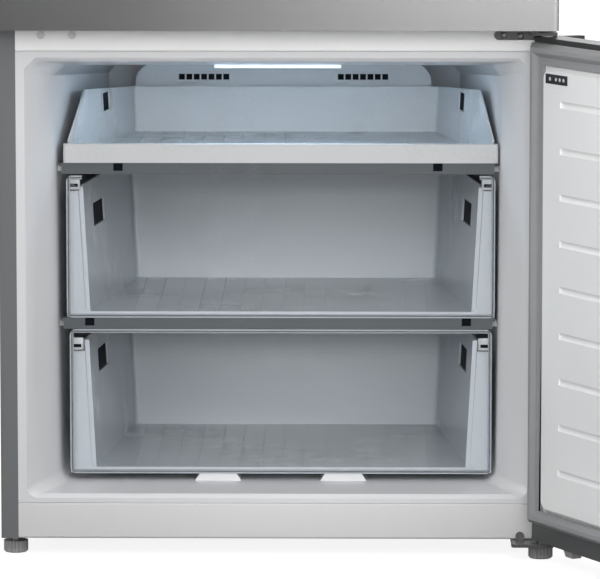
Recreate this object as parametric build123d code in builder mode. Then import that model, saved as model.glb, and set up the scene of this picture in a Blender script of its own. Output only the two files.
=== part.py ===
from build123d import *
import os

os.makedirs("parts", exist_ok=True)

# A free-standing bottom freezer refrigerator, 700 mm wide and 2 m tall, in millimetres.
# X runs to the right, Y to the back and Z up. The origin is on the floor, at the middle of the
# cabinet's front face. The freezer door stands open, everything else is shut.

# ---------------------------------------------------------------- driving dimensions: cabinet
cabinet_width = 700
cabinet_depth = 655
cabinet_top = 1980
underside = 22
steel = 0.8
front_return = 22
rear_return = 20
bend_radius = 3
base_steel = 1.2
panel_return = 16
trim_sheet = 1.6
foam_clearance = 0.4
touch_gap = 0.3

# Front frame, from the floor up
rail_top = 68
beam_low = 640.5
beam_high = 700

# Freezer liner: its mouth flares in from the flange, then tapers to the back
liner_wall = 2
freezer_low = 79
freezer_high = 628
mouth_wall = 38
freezer_mouth_half = cabinet_width / 2 - mouth_wall
freezer_front_wall = 66
freezer_front_half = cabinet_width / 2 - freezer_front_wall
freezer_draft = 4
freezer_back_wall = 110
freezer_back_half = cabinet_width / 2 - freezer_back_wall
freezer_insulation = 110
freezer_back_depth = cabinet_depth - freezer_insulation
flare_depth = 50
mouth_rounding = 5
liner_corner = 14
sill_rise = 7
ceiling_drop = 8
corner_run = 42
corner_drop = 50
rail_reach = 12
shelf_rail_reach = 22
rail_thickness = 8

# Machine room under the back of the freezer
machine_room = 133
machine_depth = cabinet_depth - machine_room
machine_height = 213
machine_slope_rise = 30
hump_wall = 37
hump_depth = machine_depth - hump_wall
hump_cover = 32
hump_height = machine_height + hump_cover

# Fridge liner
fridge_low = 712
top_wall = 30
fridge_high = cabinet_top - top_wall
fridge_front_wall = 50
fridge_front_half = cabinet_width / 2 - fridge_front_wall
fridge_back_wall = 65
fridge_back_half = cabinet_width / 2 - fridge_back_wall
fridge_insulation = 65
fridge_back_depth = cabinet_depth - fridge_insulation

# ---------------------------------------------------------------- driving dimensions: doors
door_front = -75
door_back = -12
hinge_inset = 12
hinge_x = cabinet_width / 2 - hinge_inset
hinge_y = -24
freezer_door_low = 25
freezer_door_high = 661.5
fridge_door_low = 672
top_door_gap = 2
fridge_door_high = cabinet_top - top_door_gap
freezer_door_angle = 116.7
door_corner = 6
door_liner_sheet = 1.5
bottom_cap_height = 24
top_cap_height = 7
fridge_cap_height = 22
fridge_band = 11
gasket_inset = 4
gasket_thickness = 11.7
gasket_side = 26
gasket_top = 27
gasket_bottom = 17
gasket_foot = 4
gasket_lip = 16
gasket_chamfer = 5
field_rise = 7
field_slant = 6
field_corner = 10
groove_count = 9
groove_first = 122.2
groove_pitch = 57.5
groove_margin = 49
groove_half = cabinet_width / 2 - gasket_inset - gasket_side - groove_margin
groove_radius = 5.2
groove_sink = 2.4
grip_lip_drop = 15
grip_depth = 30
grip_lip = 5
grip_wall = 15
grip_back = 33
grip_floor = 6
pull_half = 160
pull_height = 16
pull_front = 65
pull_back = 38

# Hinges
lower_pin_radius = 5
lower_pin_height = 20
mid_pin_radius = 4
mid_pin_height = 16
top_pin_height = 18
running_fit = 0.05
bush_wall = 3
bush_flange = 1.7
bracket_sheet = 4
bracket_corner = 5
collar_radius = 9
lower_plate_reach = 42
lower_plate_left = hinge_x - lower_plate_reach
lower_plate_front = -38
lower_plate_back = 60
lug_reach = 36
lug_left = hinge_x - lug_reach
lug_width = 11
lug_right = lug_left + lug_width
lug_top = 32
lug_sheet = 3
stop_reach = 60
stop_inset = 8
stop_length = 24
stop_width = 18
stop_drop = 12.5
stop_slant = 3
mid_flange_reach = 66
mid_flange_left = hinge_x - mid_flange_reach
mid_flange_end = 4
mid_flange_right = hinge_x - mid_flange_end
mid_flange_low = 655.7
mid_flange_sheet = 3
tongue_reach = 22
tongue_left = hinge_x - tongue_reach
tongue_front = -36
top_plate_reach = 48
top_plate_left = hinge_x - top_plate_reach
top_plate_margin = 3
top_plate_right = cabinet_width / 2 - top_plate_margin
top_plate_back = 70
hinge_cover_reach = 58
hinge_cover_left = hinge_x - hinge_cover_reach
hinge_cover_front = -70
hinge_cover_back = 80
hinge_cover_height = 20
hinge_cover_wall = 2

# ---------------------------------------------------------------- driving dimensions: drawers
# The depths follow the evaporator's cover, which stands in front of the machine room's hump.
cover_gap = 7
cover_front = hump_depth - cover_gap
drawer_back_gap = 10
drawer_back = cover_front - drawer_back_gap
divider_back_gap = 2
drawer_shift = 3.5
shelf_height = 14
divider_front = 64
divider_back = drawer_back - divider_back_gap
divider_bar_depth = 14
divider_side_gap = 3
divider_corner = 4
upper_divider_low = 480
lower_divider_low = 281.8
upper_notch_gap = 37
upper_notch_x = freezer_back_half - upper_notch_gap
lower_notch_gap = 44
lower_notch_x = freezer_front_half - lower_notch_gap
notch_width = 12
notch_height = 10
drawer_front = 72
drawer_wall = 2.5
drawer_floor = 3
drawer_corner = 8
drawer_draft = 9
front_lip = 4
opening_corner = 7
floor_rib_height = 1.6
floor_rib_width = 1.6
floor_rib_count = 15
rib_margin = 14
clear_sheet = 3
clear_depth = 9
panel_corner = 8
grip_band = 20
rim_height = 9
ear_width = 20
slot_height = 30
slot_length = 80
pad_height = 9
pad_width = 53
pad_slant = 3
pad_x = 80
tray_bar_gap = 8
tray_bar_half = freezer_front_half - tray_bar_gap
tray_bar_corner = 3
tray_front_gap = 11
tray_front_half = freezer_front_half - tray_front_gap
tray_back_gap = 32.5
tray_back_half = freezer_back_half - tray_back_gap
tray_bar_height = 24
tray_bar_depth = 10
tray_peak = 577
tray_peak_depth = 185
tray_back_top = 558
tray_draft = 4
tray_slot_front = 283
tray_slot_length = 41
tray_slot_height = 24
tray_slot_low = 540
middle_front_gap = 26
middle_front_half = freezer_front_half - middle_front_gap
middle_back_gap = 29
middle_back_half = freezer_back_half - middle_back_gap
middle_top = 462
middle_panel_gap = 11.5
middle_panel_half = freezer_front_half - middle_panel_gap
middle_panel_top = 477.8
middle_slot_front = 170
middle_slot_low = 401
bottom_front_gap = 33
bottom_front_half = freezer_front_half - bottom_front_gap
bottom_back_gap = 27
bottom_back_half = freezer_back_half - bottom_back_gap
bottom_top = 266
bottom_panel_gap = 15
bottom_panel_half = freezer_front_half - bottom_panel_gap
bottom_panel_top = 281.2
bottom_slot_front = 176
bottom_slot_low = 210

# Evaporator cover, coil and fans
cover_side_gap = 40
cover_half = freezer_back_half - cover_side_gap
cover_top_gap = 32
cover_top = freezer_high - ceiling_drop - cover_top_gap
cover_wall = 2.5
vent_x = 107.5
vent_drop = 18
vent_height = cover_top - vent_drop
vent_cell = 8
vent_pitch = 10
vent_count = 7
coil_side_gap = 30
coil_half = cover_half - coil_side_gap
coil_tube = 4
coil_sides = 6
coil_runs = 4
fin_count = 8
fin_sheet = 0.8
return_slots = 12
return_pitch = 26
return_slot_width = 14
return_slot_height = 6
return_height = 100
cover_corner = 25
fan_radius = 48
fan_hub = 15
fan_width = 20
fan_blades = 5
fan_shaft = 2.5
blade_sheet = 1.6
blade_root = 16
blade_tip = 34
root_pitch = 42
tip_pitch = 24
motor_radius = 20
fan_top_gap = 15
evaporator_fan_height = cover_top - fan_radius - fan_top_gap
evaporator_fan_gap = 18
evaporator_fan_front = cover_front + evaporator_fan_gap
motor_gap = 6
evaporator_motor_front = evaporator_fan_front + fan_width + motor_gap
coil_low_gap = 17
coil_low = hump_height + coil_low_gap
coil_top_gap = 37
coil_high = evaporator_fan_height - fan_radius - coil_top_gap
coil_front_gap = 14
coil_front = cover_front + coil_front_gap
coil_back_gap = 11
coil_back = freezer_back_depth - coil_back_gap
condenser_fan_x = -25
condenser_fan_height = 118
condenser_motor_left = -9
condenser_motor_right = 14
motor_leg = 12
freezer_lamp_half = 80
freezer_lamp_front = 52
freezer_lamp_back = 72
lamp_height = 4
lamp_corner = 3

# Fridge interior
shelf_heights = (1160, 1400, 1640)
crisper_lid_height = 962
shelf_front = 112
shelf_back_gap = 45
shelf_back = fridge_back_depth - shelf_back_gap
shelf_side_gap = 4
shelf_half = fridge_back_half - shelf_side_gap
shelf_frame_height = 12
glass_sheet = 4
glass_rabbet = 8
frame_ring_width = 18
crisper_front = 132
crisper_back_gap = 60
crisper_back = fridge_back_depth - crisper_back_gap
crisper_top = 936
crisper_side_gap = 3.5
crisper_half = (shelf_half - 2 * crisper_side_gap) / 2
crisper_x = crisper_half + crisper_side_gap
crisper_draft = 6
lip_half = 60
lip_reach = 12
lip_sheet = 5
fridge_lamp_half = 120
fridge_lamp_front = 170
fridge_lamp_back = 200
control_half = 110
control_front = 70
control_back = 150
control_height = 14
duct_half = 85
duct_depth = 22
duct_front = fridge_back_depth - duct_depth
duct_low = 1000
duct_top_gap = 63
duct_high = fridge_high - sill_rise - duct_top_gap
duct_wall = 2
duct_slots = 6
duct_slot_width = 90
duct_slot_height = 7
duct_slot_pitch = 130
bin_back = 88
bin_heights = (860, 1240, 1580)
bin_walls = (150, 110, 110)
bin_names = ("bottle_bin", "middle_door_bin", "upper_door_bin")
bin_draft = 4
rim_front = 4
rim_back = 46
rim_sheet = 8
dyke_reach = 60
dyke_side_gap = 60
dyke_outer = cabinet_width / 2 - dyke_side_gap
dyke_side = 28
dyke_inner = dyke_outer - dyke_side
bin_side_gap = 12
bin_half = dyke_inner - bin_side_gap
bin_rim_half = dyke_inner - touch_gap
dyke_slant = 6
dyke_wall = 2
dyke_low = 735
dyke_top_gap = 53
dyke_high = fridge_door_high - dyke_top_gap
dyke_width = 25
dyke_corner = 12

# Machine room and feet
plate_sheet = 2
plate_back_gap = 3
plate_back = cabinet_depth - plate_back_gap
compressor_side = 185
compressor_x = cabinet_width / 2 - compressor_side
compressor_length = 190
weld_flange = 3.5
compressor_gap = 7
compressor_width = machine_room - 2 * (weld_flange + compressor_gap)
compressor_low = 36
compressor_high = 176
compressor_flat = 6
compressor_corner = compressor_width / 2 - compressor_flat
compressor_shoulder = 18
grommet_radius = 9
grommet_x = 78
grommet_inset = 18
grommet_y = compressor_width / 2 - grommet_inset
foot_bar = 4
stub_radius = 4
stub_length = 24
stub_pitch = 26
pan_half = 92
pan_front_gap = 13
pan_side_front = machine_depth + pan_front_gap
pan_back_gap = 15
pan_side_back = cabinet_depth - pan_back_gap
pan_height = 24
pan_draft = 5
condenser_side = 40
condenser_left = condenser_side - cabinet_width / 2
condenser_fan_gap = 57
condenser_right = condenser_fan_x - condenser_fan_gap
condenser_low = 48
condenser_high = 182
condenser_runs = 5
condenser_tube = 2.5
condenser_layers = 3
condenser_pitch = 28
bracket_inset = 40
bracket_margin = 8
bracket_rise = 10
cover_side_margin = 4
cover_side_half = cabinet_width / 2 - cover_side_margin
rear_cover_sheet = 2
rear_cover_low = 26
rear_cover_high = 229
louvre_columns = 4
louvre_rows = 6
louvre_pitch_x = 150
louvre_pitch_z = 18
louvre_width = 120
louvre_height = 5
louvre_middle = 150
gland_side = 100
gland_x = gland_side - cabinet_width / 2
gland_height = 60
gland_radius = 9
gland_bore = 3.5
foot_radius = 15.5
foot_height = 15
foot_ridges = 20
foot_inset = 16.5
foot_x = cabinet_width / 2 - foot_inset
left_foot_y = 30
right_foot_y = -6
stud_radius = 4
roller_radius = 20
roller_width = 20
roller_inset = 50
roller_x = cabinet_width / 2 - roller_inset
roller_back_gap = 43
roller_y = cabinet_depth - roller_back_gap
axle_radius = 4
roller_gap = 2
ear_sheet = 2
ear_low = 14
ear_half = 8
well_gap = 2.3
foot_chamfer = 2
ridge_radius = 1.4
stud_gap = 1.5
nut_radius = 9
nut_height = 8
stud_length = 24

inner_half = cabinet_width / 2 - steel
cabinet_back = cabinet_depth - steel
flange_half = cabinet_width / 2 - front_return
machine_middle = (machine_depth + cabinet_depth) / 2
machine_slope = machine_slope_rise / (cabinet_back - machine_depth)
pan_front = door_front + steel
liner_back = door_back - door_liner_sheet
gasket_front = door_back + gasket_thickness
upper_divider_top = upper_divider_low + shelf_height
lower_divider_top = lower_divider_low + shelf_height
tray_low = upper_divider_top + touch_gap
middle_low = lower_divider_top + touch_gap
floor_height = freezer_low + sill_rise
bottom_low = floor_height + pad_height + touch_gap
fridge_floor = fridge_low + sill_rise
fridge_ceiling = fridge_high - sill_rise
crisper_low = fridge_floor + touch_gap
tongue_low = freezer_door_high + bush_flange + touch_gap
tongue_high = tongue_low + bracket_sheet


# ---------------------------------------------------------------- shapes used more than once
def facing(depth):
    """The plane parallel to the cabinet's front at a depth, drawn as seen from the front."""
    return Plane.XZ.offset(-depth)


def block(x0, x1, y0, y1, z0, z1):
    """A plain box between two corners, to add to a piece or to cut from it."""
    with BuildPart() as solid:
        with BuildSketch(Plane.XY.offset(z0)):
            with Locations(((x0 + x1) / 2, (y0 + y1) / 2)):
                Rectangle(x1 - x0, y1 - y0)
        extrude(amount=z1 - z0)
    return solid.part


def across(points, half):
    """A prism with a profile in depth and height, running across the cabinet."""
    with BuildPart() as prism:
        with BuildSketch(Plane.YZ):
            with BuildLine():
                Polyline(*points, close=True)
            make_face()
        extrude(amount=half, both=True)
    return prism.part


def folded(plane, points, thickness, side, length, both=False, radius=bend_radius):
    """A folded sheet: an open profile with rounded bends, thickened to one side and extruded."""
    with BuildPart() as sheet:
        with BuildSketch(plane):
            with BuildLine():
                FilletPolyline(*points, radius=radius)
                offset(amount=thickness, side=side)
            make_face()
        extrude(amount=length, both=both)
    return sheet.part


def cylinder(x, y, z0, z1, radius):
    """An upright cylinder between two heights."""
    with BuildPart() as rod:
        with BuildSketch(Plane.XY.offset(z0)):
            with Locations((x, y)):
                Circle(radius)
        extrude(amount=z1 - z0)
    return rod.part


def cavity(sections, grow):
    """The space inside a liner, grown by a distance: a loft through six-cornered frames. A section
    is its depth, its half width above and below, its two heights and its top corner's run and drop."""
    with BuildPart() as space:
        for depth, half_high, half_low, low, high, run, drop in sections:
            with BuildSketch(facing(depth)) as frame:
                with BuildLine():
                    Polyline(
                        (-half_low - grow, low - grow),
                        (half_low + grow, low - grow),
                        (half_high + grow, high - drop),
                        (half_high - run, high + grow),
                        (run - half_high, high + grow),
                        (-half_high - grow, high - drop),
                        close=True,
                    )
                make_face()
                fillet(frame.vertices().sort_by(Axis.Y)[:2], liner_corner + grow)
        loft(ruled=True)
    return space.part


def tapered(front_half, back_half, front, back, low, high, draft, corner):
    """A block that narrows to the back and, by its draft, to the bottom; its front is upright."""
    with BuildPart() as solid:
        for height, inset in ((low, draft), (high, 0)):
            with BuildSketch(Plane.XY.offset(height)) as outline:
                with BuildLine():
                    Polyline(
                        (inset - front_half, front),
                        (front_half - inset, front),
                        (back_half - inset, back - inset),
                        (inset - back_half, back - inset),
                        close=True,
                    )
                make_face()
                fillet(outline.vertices(), corner)
        loft(ruled=True)
    return solid.part


def tub(front_half, back_half, front, back, low, high, draft, wall=drawer_wall):
    """An open-topped tapered bin with one wall thickness and its own floor."""
    floor_draft = draft * (1 - drawer_floor / (high - low))
    with BuildPart() as bin_:
        add(tapered(front_half, back_half, front, back, low, high, draft, drawer_corner))
        add(
            tapered(
                front_half - wall,
                back_half - wall,
                front + wall,
                back - wall,
                low + drawer_floor,
                high,
                floor_draft,
                drawer_corner - wall,
            ),
            mode=Mode.SUBTRACT,
        )
    return bin_.part


def save(piece, name):
    """Labels a piece and writes it under its name."""
    piece.label = name
    export_step(piece, f"parts/{name}.step")


# ---------------------------------------------------------------- cabinet shell
right_side = folded(
    Plane.XY.offset(underside),
    (
        (flange_half, 0),
        (cabinet_width / 2, 0),
        (cabinet_width / 2, cabinet_depth),
        (cabinet_width / 2 - rear_return, cabinet_depth),
    ),
    steel,
    Side.LEFT,
    cabinet_top - underside,
)
save(right_side, "side_panel_right")
save(mirror(right_side, about=Plane.YZ), "side_panel_left")

panel_half = inner_half - bend_radius
with BuildPart() as top_panel:
    add(block(-panel_half, panel_half, steel, cabinet_back, cabinet_top - steel, cabinet_top))
    add(block(-flange_half, flange_half, 0, steel, cabinet_top - front_return, cabinet_top))
save(top_panel.part, "top_panel")

machine_top_back = machine_height + machine_slope_rise
back_panel = block(
    -panel_half,
    panel_half,
    cabinet_back - steel,
    cabinet_back,
    machine_top_back - rear_return / 2,
    cabinet_top - steel,
)
save(back_panel, "back_panel")

# The stepped floor of the cabinet: it rises over the machine room and slopes up to the back.
# A welded nut at the left front corner takes the levelling foot.
with BuildPart() as base_plate:
    add(
        folded(
            Plane.YZ,
            (
                (panel_return, underside),
                (machine_depth, underside),
                (machine_depth, machine_height),
                (cabinet_back - steel, machine_top_back),
            ),
            base_steel,
            Side.LEFT,
            panel_half,
            both=True,
        )
    )
    add(cylinder(-foot_x, left_foot_y, underside + base_steel, underside + nut_height, nut_radius))
    with Locations((-foot_x, left_foot_y, underside)):
        Cylinder(
            stud_radius + touch_gap,
            nut_height,
            align=(Align.CENTER, Align.CENTER, Align.MIN),
            mode=Mode.SUBTRACT,
        )
save(base_plate.part, "base_plate")


def cross_member(low, high):
    """A folded white rail across the cabinet's front, with a return above and below."""
    return folded(
        Plane.YZ,
        ((panel_return, low), (0, low), (0, high), (panel_return, high)),
        trim_sheet,
        Side.RIGHT,
        flange_half,
        both=True,
    )


save(cross_member(underside, rail_top), "bottom_rail")
save(cross_member(beam_low, beam_high), "mid_beam")

# ---------------------------------------------------------------- liners
freezer_sections = (
    (
        0,
        freezer_mouth_half + mouth_rounding,
        freezer_mouth_half + mouth_rounding,
        freezer_low - mouth_rounding,
        freezer_high + mouth_rounding,
        liner_corner,
        liner_corner,
    ),
    (
        mouth_rounding,
        freezer_mouth_half,
        freezer_mouth_half,
        freezer_low,
        freezer_high,
        liner_corner,
        liner_corner,
    ),
    (
        flare_depth,
        freezer_front_half,
        freezer_front_half - freezer_draft,
        floor_height,
        freezer_high - ceiling_drop,
        liner_corner,
        liner_corner,
    ),
    (
        freezer_back_depth,
        freezer_back_half,
        freezer_back_half - freezer_draft,
        floor_height,
        freezer_high - ceiling_drop,
        corner_run,
        corner_drop,
    ),
)
fridge_sections = (
    (
        0,
        freezer_mouth_half + mouth_rounding,
        freezer_mouth_half + mouth_rounding,
        fridge_low - mouth_rounding,
        fridge_high + mouth_rounding,
        liner_corner,
        liner_corner,
    ),
    (
        mouth_rounding,
        freezer_mouth_half,
        freezer_mouth_half,
        fridge_low,
        fridge_high,
        liner_corner,
        liner_corner,
    ),
    (
        flare_depth,
        fridge_front_half,
        fridge_front_half,
        fridge_floor,
        fridge_ceiling,
        liner_corner,
        liner_corner,
    ),
    (
        fridge_back_depth,
        fridge_back_half,
        fridge_back_half,
        fridge_floor,
        fridge_ceiling,
        liner_corner,
        liner_corner,
    ),
)


def deepened(sections, grow):
    """The same frames, with the last one moved back by the distance that the space grows."""
    back = sections[-1]
    return (*sections[:-1], (back[0] + grow, *back[1:]))


def narrowed(section, reach):
    """The same frame, drawn in at both sides."""
    depth, half_high, half_low, *rest = section
    return (depth, half_high - reach, half_low - reach, *rest)


def hump(grow):
    """What the machine room takes out of the freezer's lower back corner."""
    start = hump_depth + grow
    rise = machine_slope * (cabinet_depth - hump_depth)
    return across(
        (
            (start, 0),
            (start, hump_height - grow),
            (cabinet_depth, hump_height + rise - grow),
            (cabinet_depth, 0),
        ),
        cabinet_width / 2,
    )


def freezer_space(grow):
    """The freezer's inside, grown by a distance."""
    with BuildPart() as space:
        add(cavity(deepened(freezer_sections, grow), grow))
        add(hump(grow), mode=Mode.SUBTRACT)
    return space.part


def fridge_space(grow):
    """The fridge's inside, grown by a distance."""
    return cavity(deepened(fridge_sections, grow), grow)


def ledges(sections, tops, front, back, reach):
    """Ledges along both side walls of a liner, under the shelves at the given heights."""
    with BuildPart() as rails:
        for top in tops:
            add(block(-inner_half, inner_half, front, back, top - rail_thickness, top))
        add(cavity(sections, liner_wall / 2), mode=Mode.INTERSECT)
        add(cavity([narrowed(section, reach) for section in sections], 0), mode=Mode.SUBTRACT)
    return rails.part


def flange_plate(low, high):
    """The liner's flange, the frame that shows around its mouth."""
    return block(-flange_half, flange_half, 0, liner_wall, low, high)


freezer_ledge_tops = (
    upper_divider_top - glass_sheet,
    lower_divider_top - glass_sheet,
)
with BuildPart() as freezer_liner:
    add(freezer_space(liner_wall))
    add(flange_plate(rail_top, beam_low))
    add(freezer_space(0), mode=Mode.SUBTRACT)
    add(
        ledges(
            freezer_sections,
            freezer_ledge_tops,
            divider_front + divider_bar_depth + touch_gap,
            divider_back,
            rail_reach,
        )
    )
    for middle in (drawer_shift - pad_x, drawer_shift + pad_x):
        with BuildSketch(facing(divider_front)):
            with BuildLine():
                Polyline(
                    (middle - pad_width / 2 - pad_slant, floor_height),
                    (middle + pad_width / 2 + pad_slant, floor_height),
                    (middle + pad_width / 2 - pad_slant, floor_height + pad_height),
                    (middle - pad_width / 2 + pad_slant, floor_height + pad_height),
                    close=True,
                )
            make_face()
        extrude(amount=divider_front - divider_back)
save(freezer_liner.part, "freezer_liner")

shelf_tops = (*shelf_heights, crisper_lid_height)
with BuildPart() as fridge_liner:
    add(fridge_space(liner_wall))
    add(flange_plate(beam_high, cabinet_top - front_return))
    add(fridge_space(0), mode=Mode.SUBTRACT)
    add(
        ledges(
            fridge_sections,
            [height - shelf_frame_height for height in shelf_tops],
            shelf_front,
            shelf_back,
            shelf_rail_reach,
        )
    )
save(fridge_liner.part, "fridge_liner")

# The foam fills what is left between the shell and the two liners.
foam_front = bend_radius + foam_clearance
foam_grow = liner_wall + foam_clearance
with BuildPart() as cabinet_foam:
    with BuildSketch(Plane.XY.offset(underside + base_steel)) as outline:
        with Locations((0, (foam_front + cabinet_back - steel) / 2)):
            Rectangle(2 * inner_half, cabinet_back - steel - foam_front)
        chamfer(outline.vertices(), bend_radius)
    extrude(amount=cabinet_top - steel - underside - base_steel)
    add(freezer_space(foam_grow), mode=Mode.SUBTRACT)
    add(fridge_space(foam_grow), mode=Mode.SUBTRACT)
    for low, high in ((underside, rail_top), (beam_low, beam_high)):
        add(
            block(-inner_half, inner_half, 0, panel_return, low, high + bend_radius),
            mode=Mode.SUBTRACT,
        )
    over = base_steel + foam_clearance
    add(
        across(
            (
                (machine_depth - over - bend_radius, 0),
                (machine_depth - over - bend_radius, underside + over),
                (machine_depth - over, underside + over + bend_radius),
                (machine_depth - over, machine_height + over),
                (cabinet_depth, machine_height + over + machine_slope * (cabinet_depth - machine_depth)),
                (cabinet_depth, 0),
            ),
            cabinet_width / 2,
        ),
        mode=Mode.SUBTRACT,
    )
    add(
        cylinder(
            -foot_x,
            left_foot_y,
            underside,
            underside + stud_length + stud_radius,
            nut_radius + foam_clearance,
        ),
        mode=Mode.SUBTRACT,
    )
save(cabinet_foam.part, "cabinet_foam")

# ---------------------------------------------------------------- dividers and drawers
def freezer_half(depth, height):
    """Half the freezer's inner width behind its flare, at a depth and a height."""
    along = (depth - flare_depth) / (freezer_back_depth - flare_depth)
    up = (height - floor_height) / (freezer_high - ceiling_drop - floor_height)
    widest = freezer_front_half + along * (freezer_back_half - freezer_front_half)
    return widest - freezer_draft * (1 - up)


def divider(low, notch_x):
    """A shelf across the freezer: a front bar with two notches, and a plate on the liner's ledges."""
    high = low + shelf_height
    plate_low = high - glass_sheet
    front_half = freezer_half(divider_front, low) - divider_side_gap
    back_half = freezer_half(divider_back, low) - divider_side_gap
    bar_half = front_half - divider_corner
    bar_back = divider_front + divider_bar_depth
    notch_back = divider_front + divider_bar_depth / 2
    with BuildPart() as shelf:
        add(
            tapered(
                front_half, back_half, divider_front, divider_back, plate_low, high, 0, divider_corner
            )
        )
        add(block(-bar_half, bar_half, divider_front, bar_back, low, high))
        for x in (-notch_x, notch_x):
            left = x - notch_width / 2
            right = x + notch_width / 2
            add(
                block(left, right, divider_front, notch_back, high - notch_height, high),
                mode=Mode.SUBTRACT,
            )
    return shelf.part


save(divider(upper_divider_low, upper_notch_x), "upper_divider")
save(divider(lower_divider_low, lower_notch_x), "lower_divider")


def floor_ribs(half, front, back, floor):
    """Low ribs along a drawer's floor, from the front to the back."""
    pitch = 2 * half / (floor_rib_count - 1)
    with BuildPart() as ribs:
        with BuildSketch(Plane.XY.offset(floor)):
            with Locations((0, (front + back) / 2)):
                with GridLocations(pitch, 0, floor_rib_count, 1):
                    Rectangle(floor_rib_width, back - front)
        extrude(amount=floor_rib_height)
    return ribs.part


def drawer_box(front_half, back_half, low, high, plate_half, plate_high, slot_front, slot_low):
    """A freezer drawer's white box. Its front is an open frame, which the clear panel closes."""
    floor = low + drawer_floor
    low_half = front_half - drawer_draft
    frame_back = drawer_front + drawer_wall
    rib_back = drawer_back - drawer_draft - rib_margin
    with BuildPart() as box:
        add(
            tub(
                front_half + drawer_wall,
                back_half + drawer_wall,
                drawer_front,
                drawer_back,
                low,
                high,
                drawer_draft,
            )
        )
        add(block(-plate_half, plate_half, drawer_front, frame_back, low, plate_high))
        with BuildSketch(facing(drawer_front)) as opening:
            with BuildLine():
                Polyline(
                    (-low_half, floor + front_lip),
                    (low_half, floor + front_lip),
                    (front_half, high),
                    (-front_half, high),
                    close=True,
                )
            make_face()
            fillet(opening.vertices().sort_by(Axis.Y)[:2], opening_corner)
        extrude(amount=-drawer_wall, mode=Mode.SUBTRACT)
        add(floor_ribs(back_half - drawer_draft - rib_margin, frame_back + rib_margin, rib_back, floor))
        for side in (-1, 1):
            inner = side * (back_half - drawer_draft)
            outer = side * (plate_half + drawer_wall)
            add(
                block(
                    min(inner, outer),
                    max(inner, outer),
                    slot_front,
                    slot_front + slot_length,
                    slot_low,
                    slot_low + slot_height,
                ),
                mode=Mode.SUBTRACT,
            )
    return box.part


def clear_front(half, low, high, grip_low, grip_high):
    """A clear drawer front: a plate with its rim turned back all round, and a grip cut out of it
    between two ears. The grip is open above when it reaches past the top."""
    middle = (low + high) / 2
    with BuildPart() as panel:
        with BuildSketch(facing(drawer_front)):
            with Locations((0, middle)):
                RectangleRounded(2 * half, high - low, panel_corner)
        extrude(amount=clear_depth)
        with BuildSketch(facing(drawer_front)):
            with Locations((0, middle)):
                RectangleRounded(
                    2 * (half - clear_sheet), high - low - 2 * clear_sheet, panel_corner - clear_sheet
                )
        extrude(amount=clear_depth - clear_sheet, mode=Mode.SUBTRACT)
        with BuildSketch(facing(drawer_front)):
            with Locations((0, (grip_low + grip_high) / 2)):
                RectangleRounded(2 * (half - ear_width), grip_high - grip_low, panel_corner - clear_sheet)
        extrude(amount=clear_depth, mode=Mode.SUBTRACT)
    return panel.part


middle_grip_low = middle_panel_top - grip_band
middle_box = drawer_box(
    middle_front_half,
    middle_back_half,
    middle_low,
    middle_top,
    middle_panel_half,
    middle_grip_low,
    middle_slot_front,
    middle_slot_low,
)
middle_front = clear_front(
    middle_panel_half, middle_low, middle_panel_top, middle_grip_low, middle_panel_top + grip_band
)
save(Pos(drawer_shift, 0, 0) * middle_box, "middle_drawer_box")
save(Pos(drawer_shift, 0, 0) * middle_front, "middle_drawer_front")

bottom_grip_high = bottom_panel_top - rim_height
bottom_grip_low = bottom_grip_high - grip_band
bottom_box = drawer_box(
    bottom_front_half,
    bottom_back_half,
    bottom_low,
    bottom_top,
    bottom_panel_half,
    bottom_grip_low,
    bottom_slot_front,
    bottom_slot_low,
)
bottom_front = clear_front(
    bottom_panel_half, bottom_low, bottom_panel_top, bottom_grip_low, bottom_grip_high
)
save(Pos(drawer_shift, 0, 0) * bottom_box, "bottom_drawer_box")
save(Pos(drawer_shift, 0, 0) * bottom_front, "bottom_drawer_front")

# The top tray has a low white bar in front, and sides that climb steeply behind it.
bar_top = tray_low + tray_bar_height
bar_front = drawer_front - tray_bar_depth
with BuildPart() as top_tray:
    add(
        tub(
            tray_front_half + drawer_wall,
            tray_back_half + drawer_wall,
            drawer_front,
            drawer_back,
            tray_low,
            tray_peak,
            tray_draft,
        )
    )
    add(
        across(
            (
                (bar_front, bar_top),
                (drawer_front + drawer_wall, bar_top),
                (tray_peak_depth, tray_peak),
                (drawer_back, tray_back_top),
                (cover_front, tray_back_top),
                (cover_front, cover_top),
                (bar_front, cover_top),
            ),
            cabinet_width / 2,
        ),
        mode=Mode.SUBTRACT,
    )
    with BuildSketch(Plane.XY.offset(tray_low)):
        with Locations((0, (bar_front + drawer_front + drawer_wall) / 2)):
            RectangleRounded(2 * tray_bar_half, tray_bar_depth + drawer_wall, tray_bar_corner)
    extrude(amount=tray_bar_height)
    add(
        floor_ribs(
            tray_back_half - tray_draft - rib_margin,
            drawer_front + rib_margin,
            drawer_back - rib_margin,
            tray_low + drawer_floor,
        )
    )
    for side in (-1, 1):
        inner = side * (tray_back_half - tray_draft)
        outer = side * (tray_bar_half + drawer_wall)
        add(
            block(
                min(inner, outer),
                max(inner, outer),
                tray_slot_front,
                tray_slot_front + tray_slot_length,
                tray_slot_low,
                tray_slot_low + tray_slot_height,
            ),
            mode=Mode.SUBTRACT,
        )
save(Pos(drawer_shift, 0, 0) * top_tray.part, "top_tray")

# ---------------------------------------------------------------- doors
def door_skin(low, high):
    """A door's steel front, folded back at both sides."""
    half = cabinet_width / 2
    return folded(
        Plane.XY.offset(low),
        ((-half, door_back), (-half, door_front), (half, door_front), (half, door_back)),
        steel,
        Side.LEFT,
        high - low,
        radius=door_corner,
    )


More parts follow.
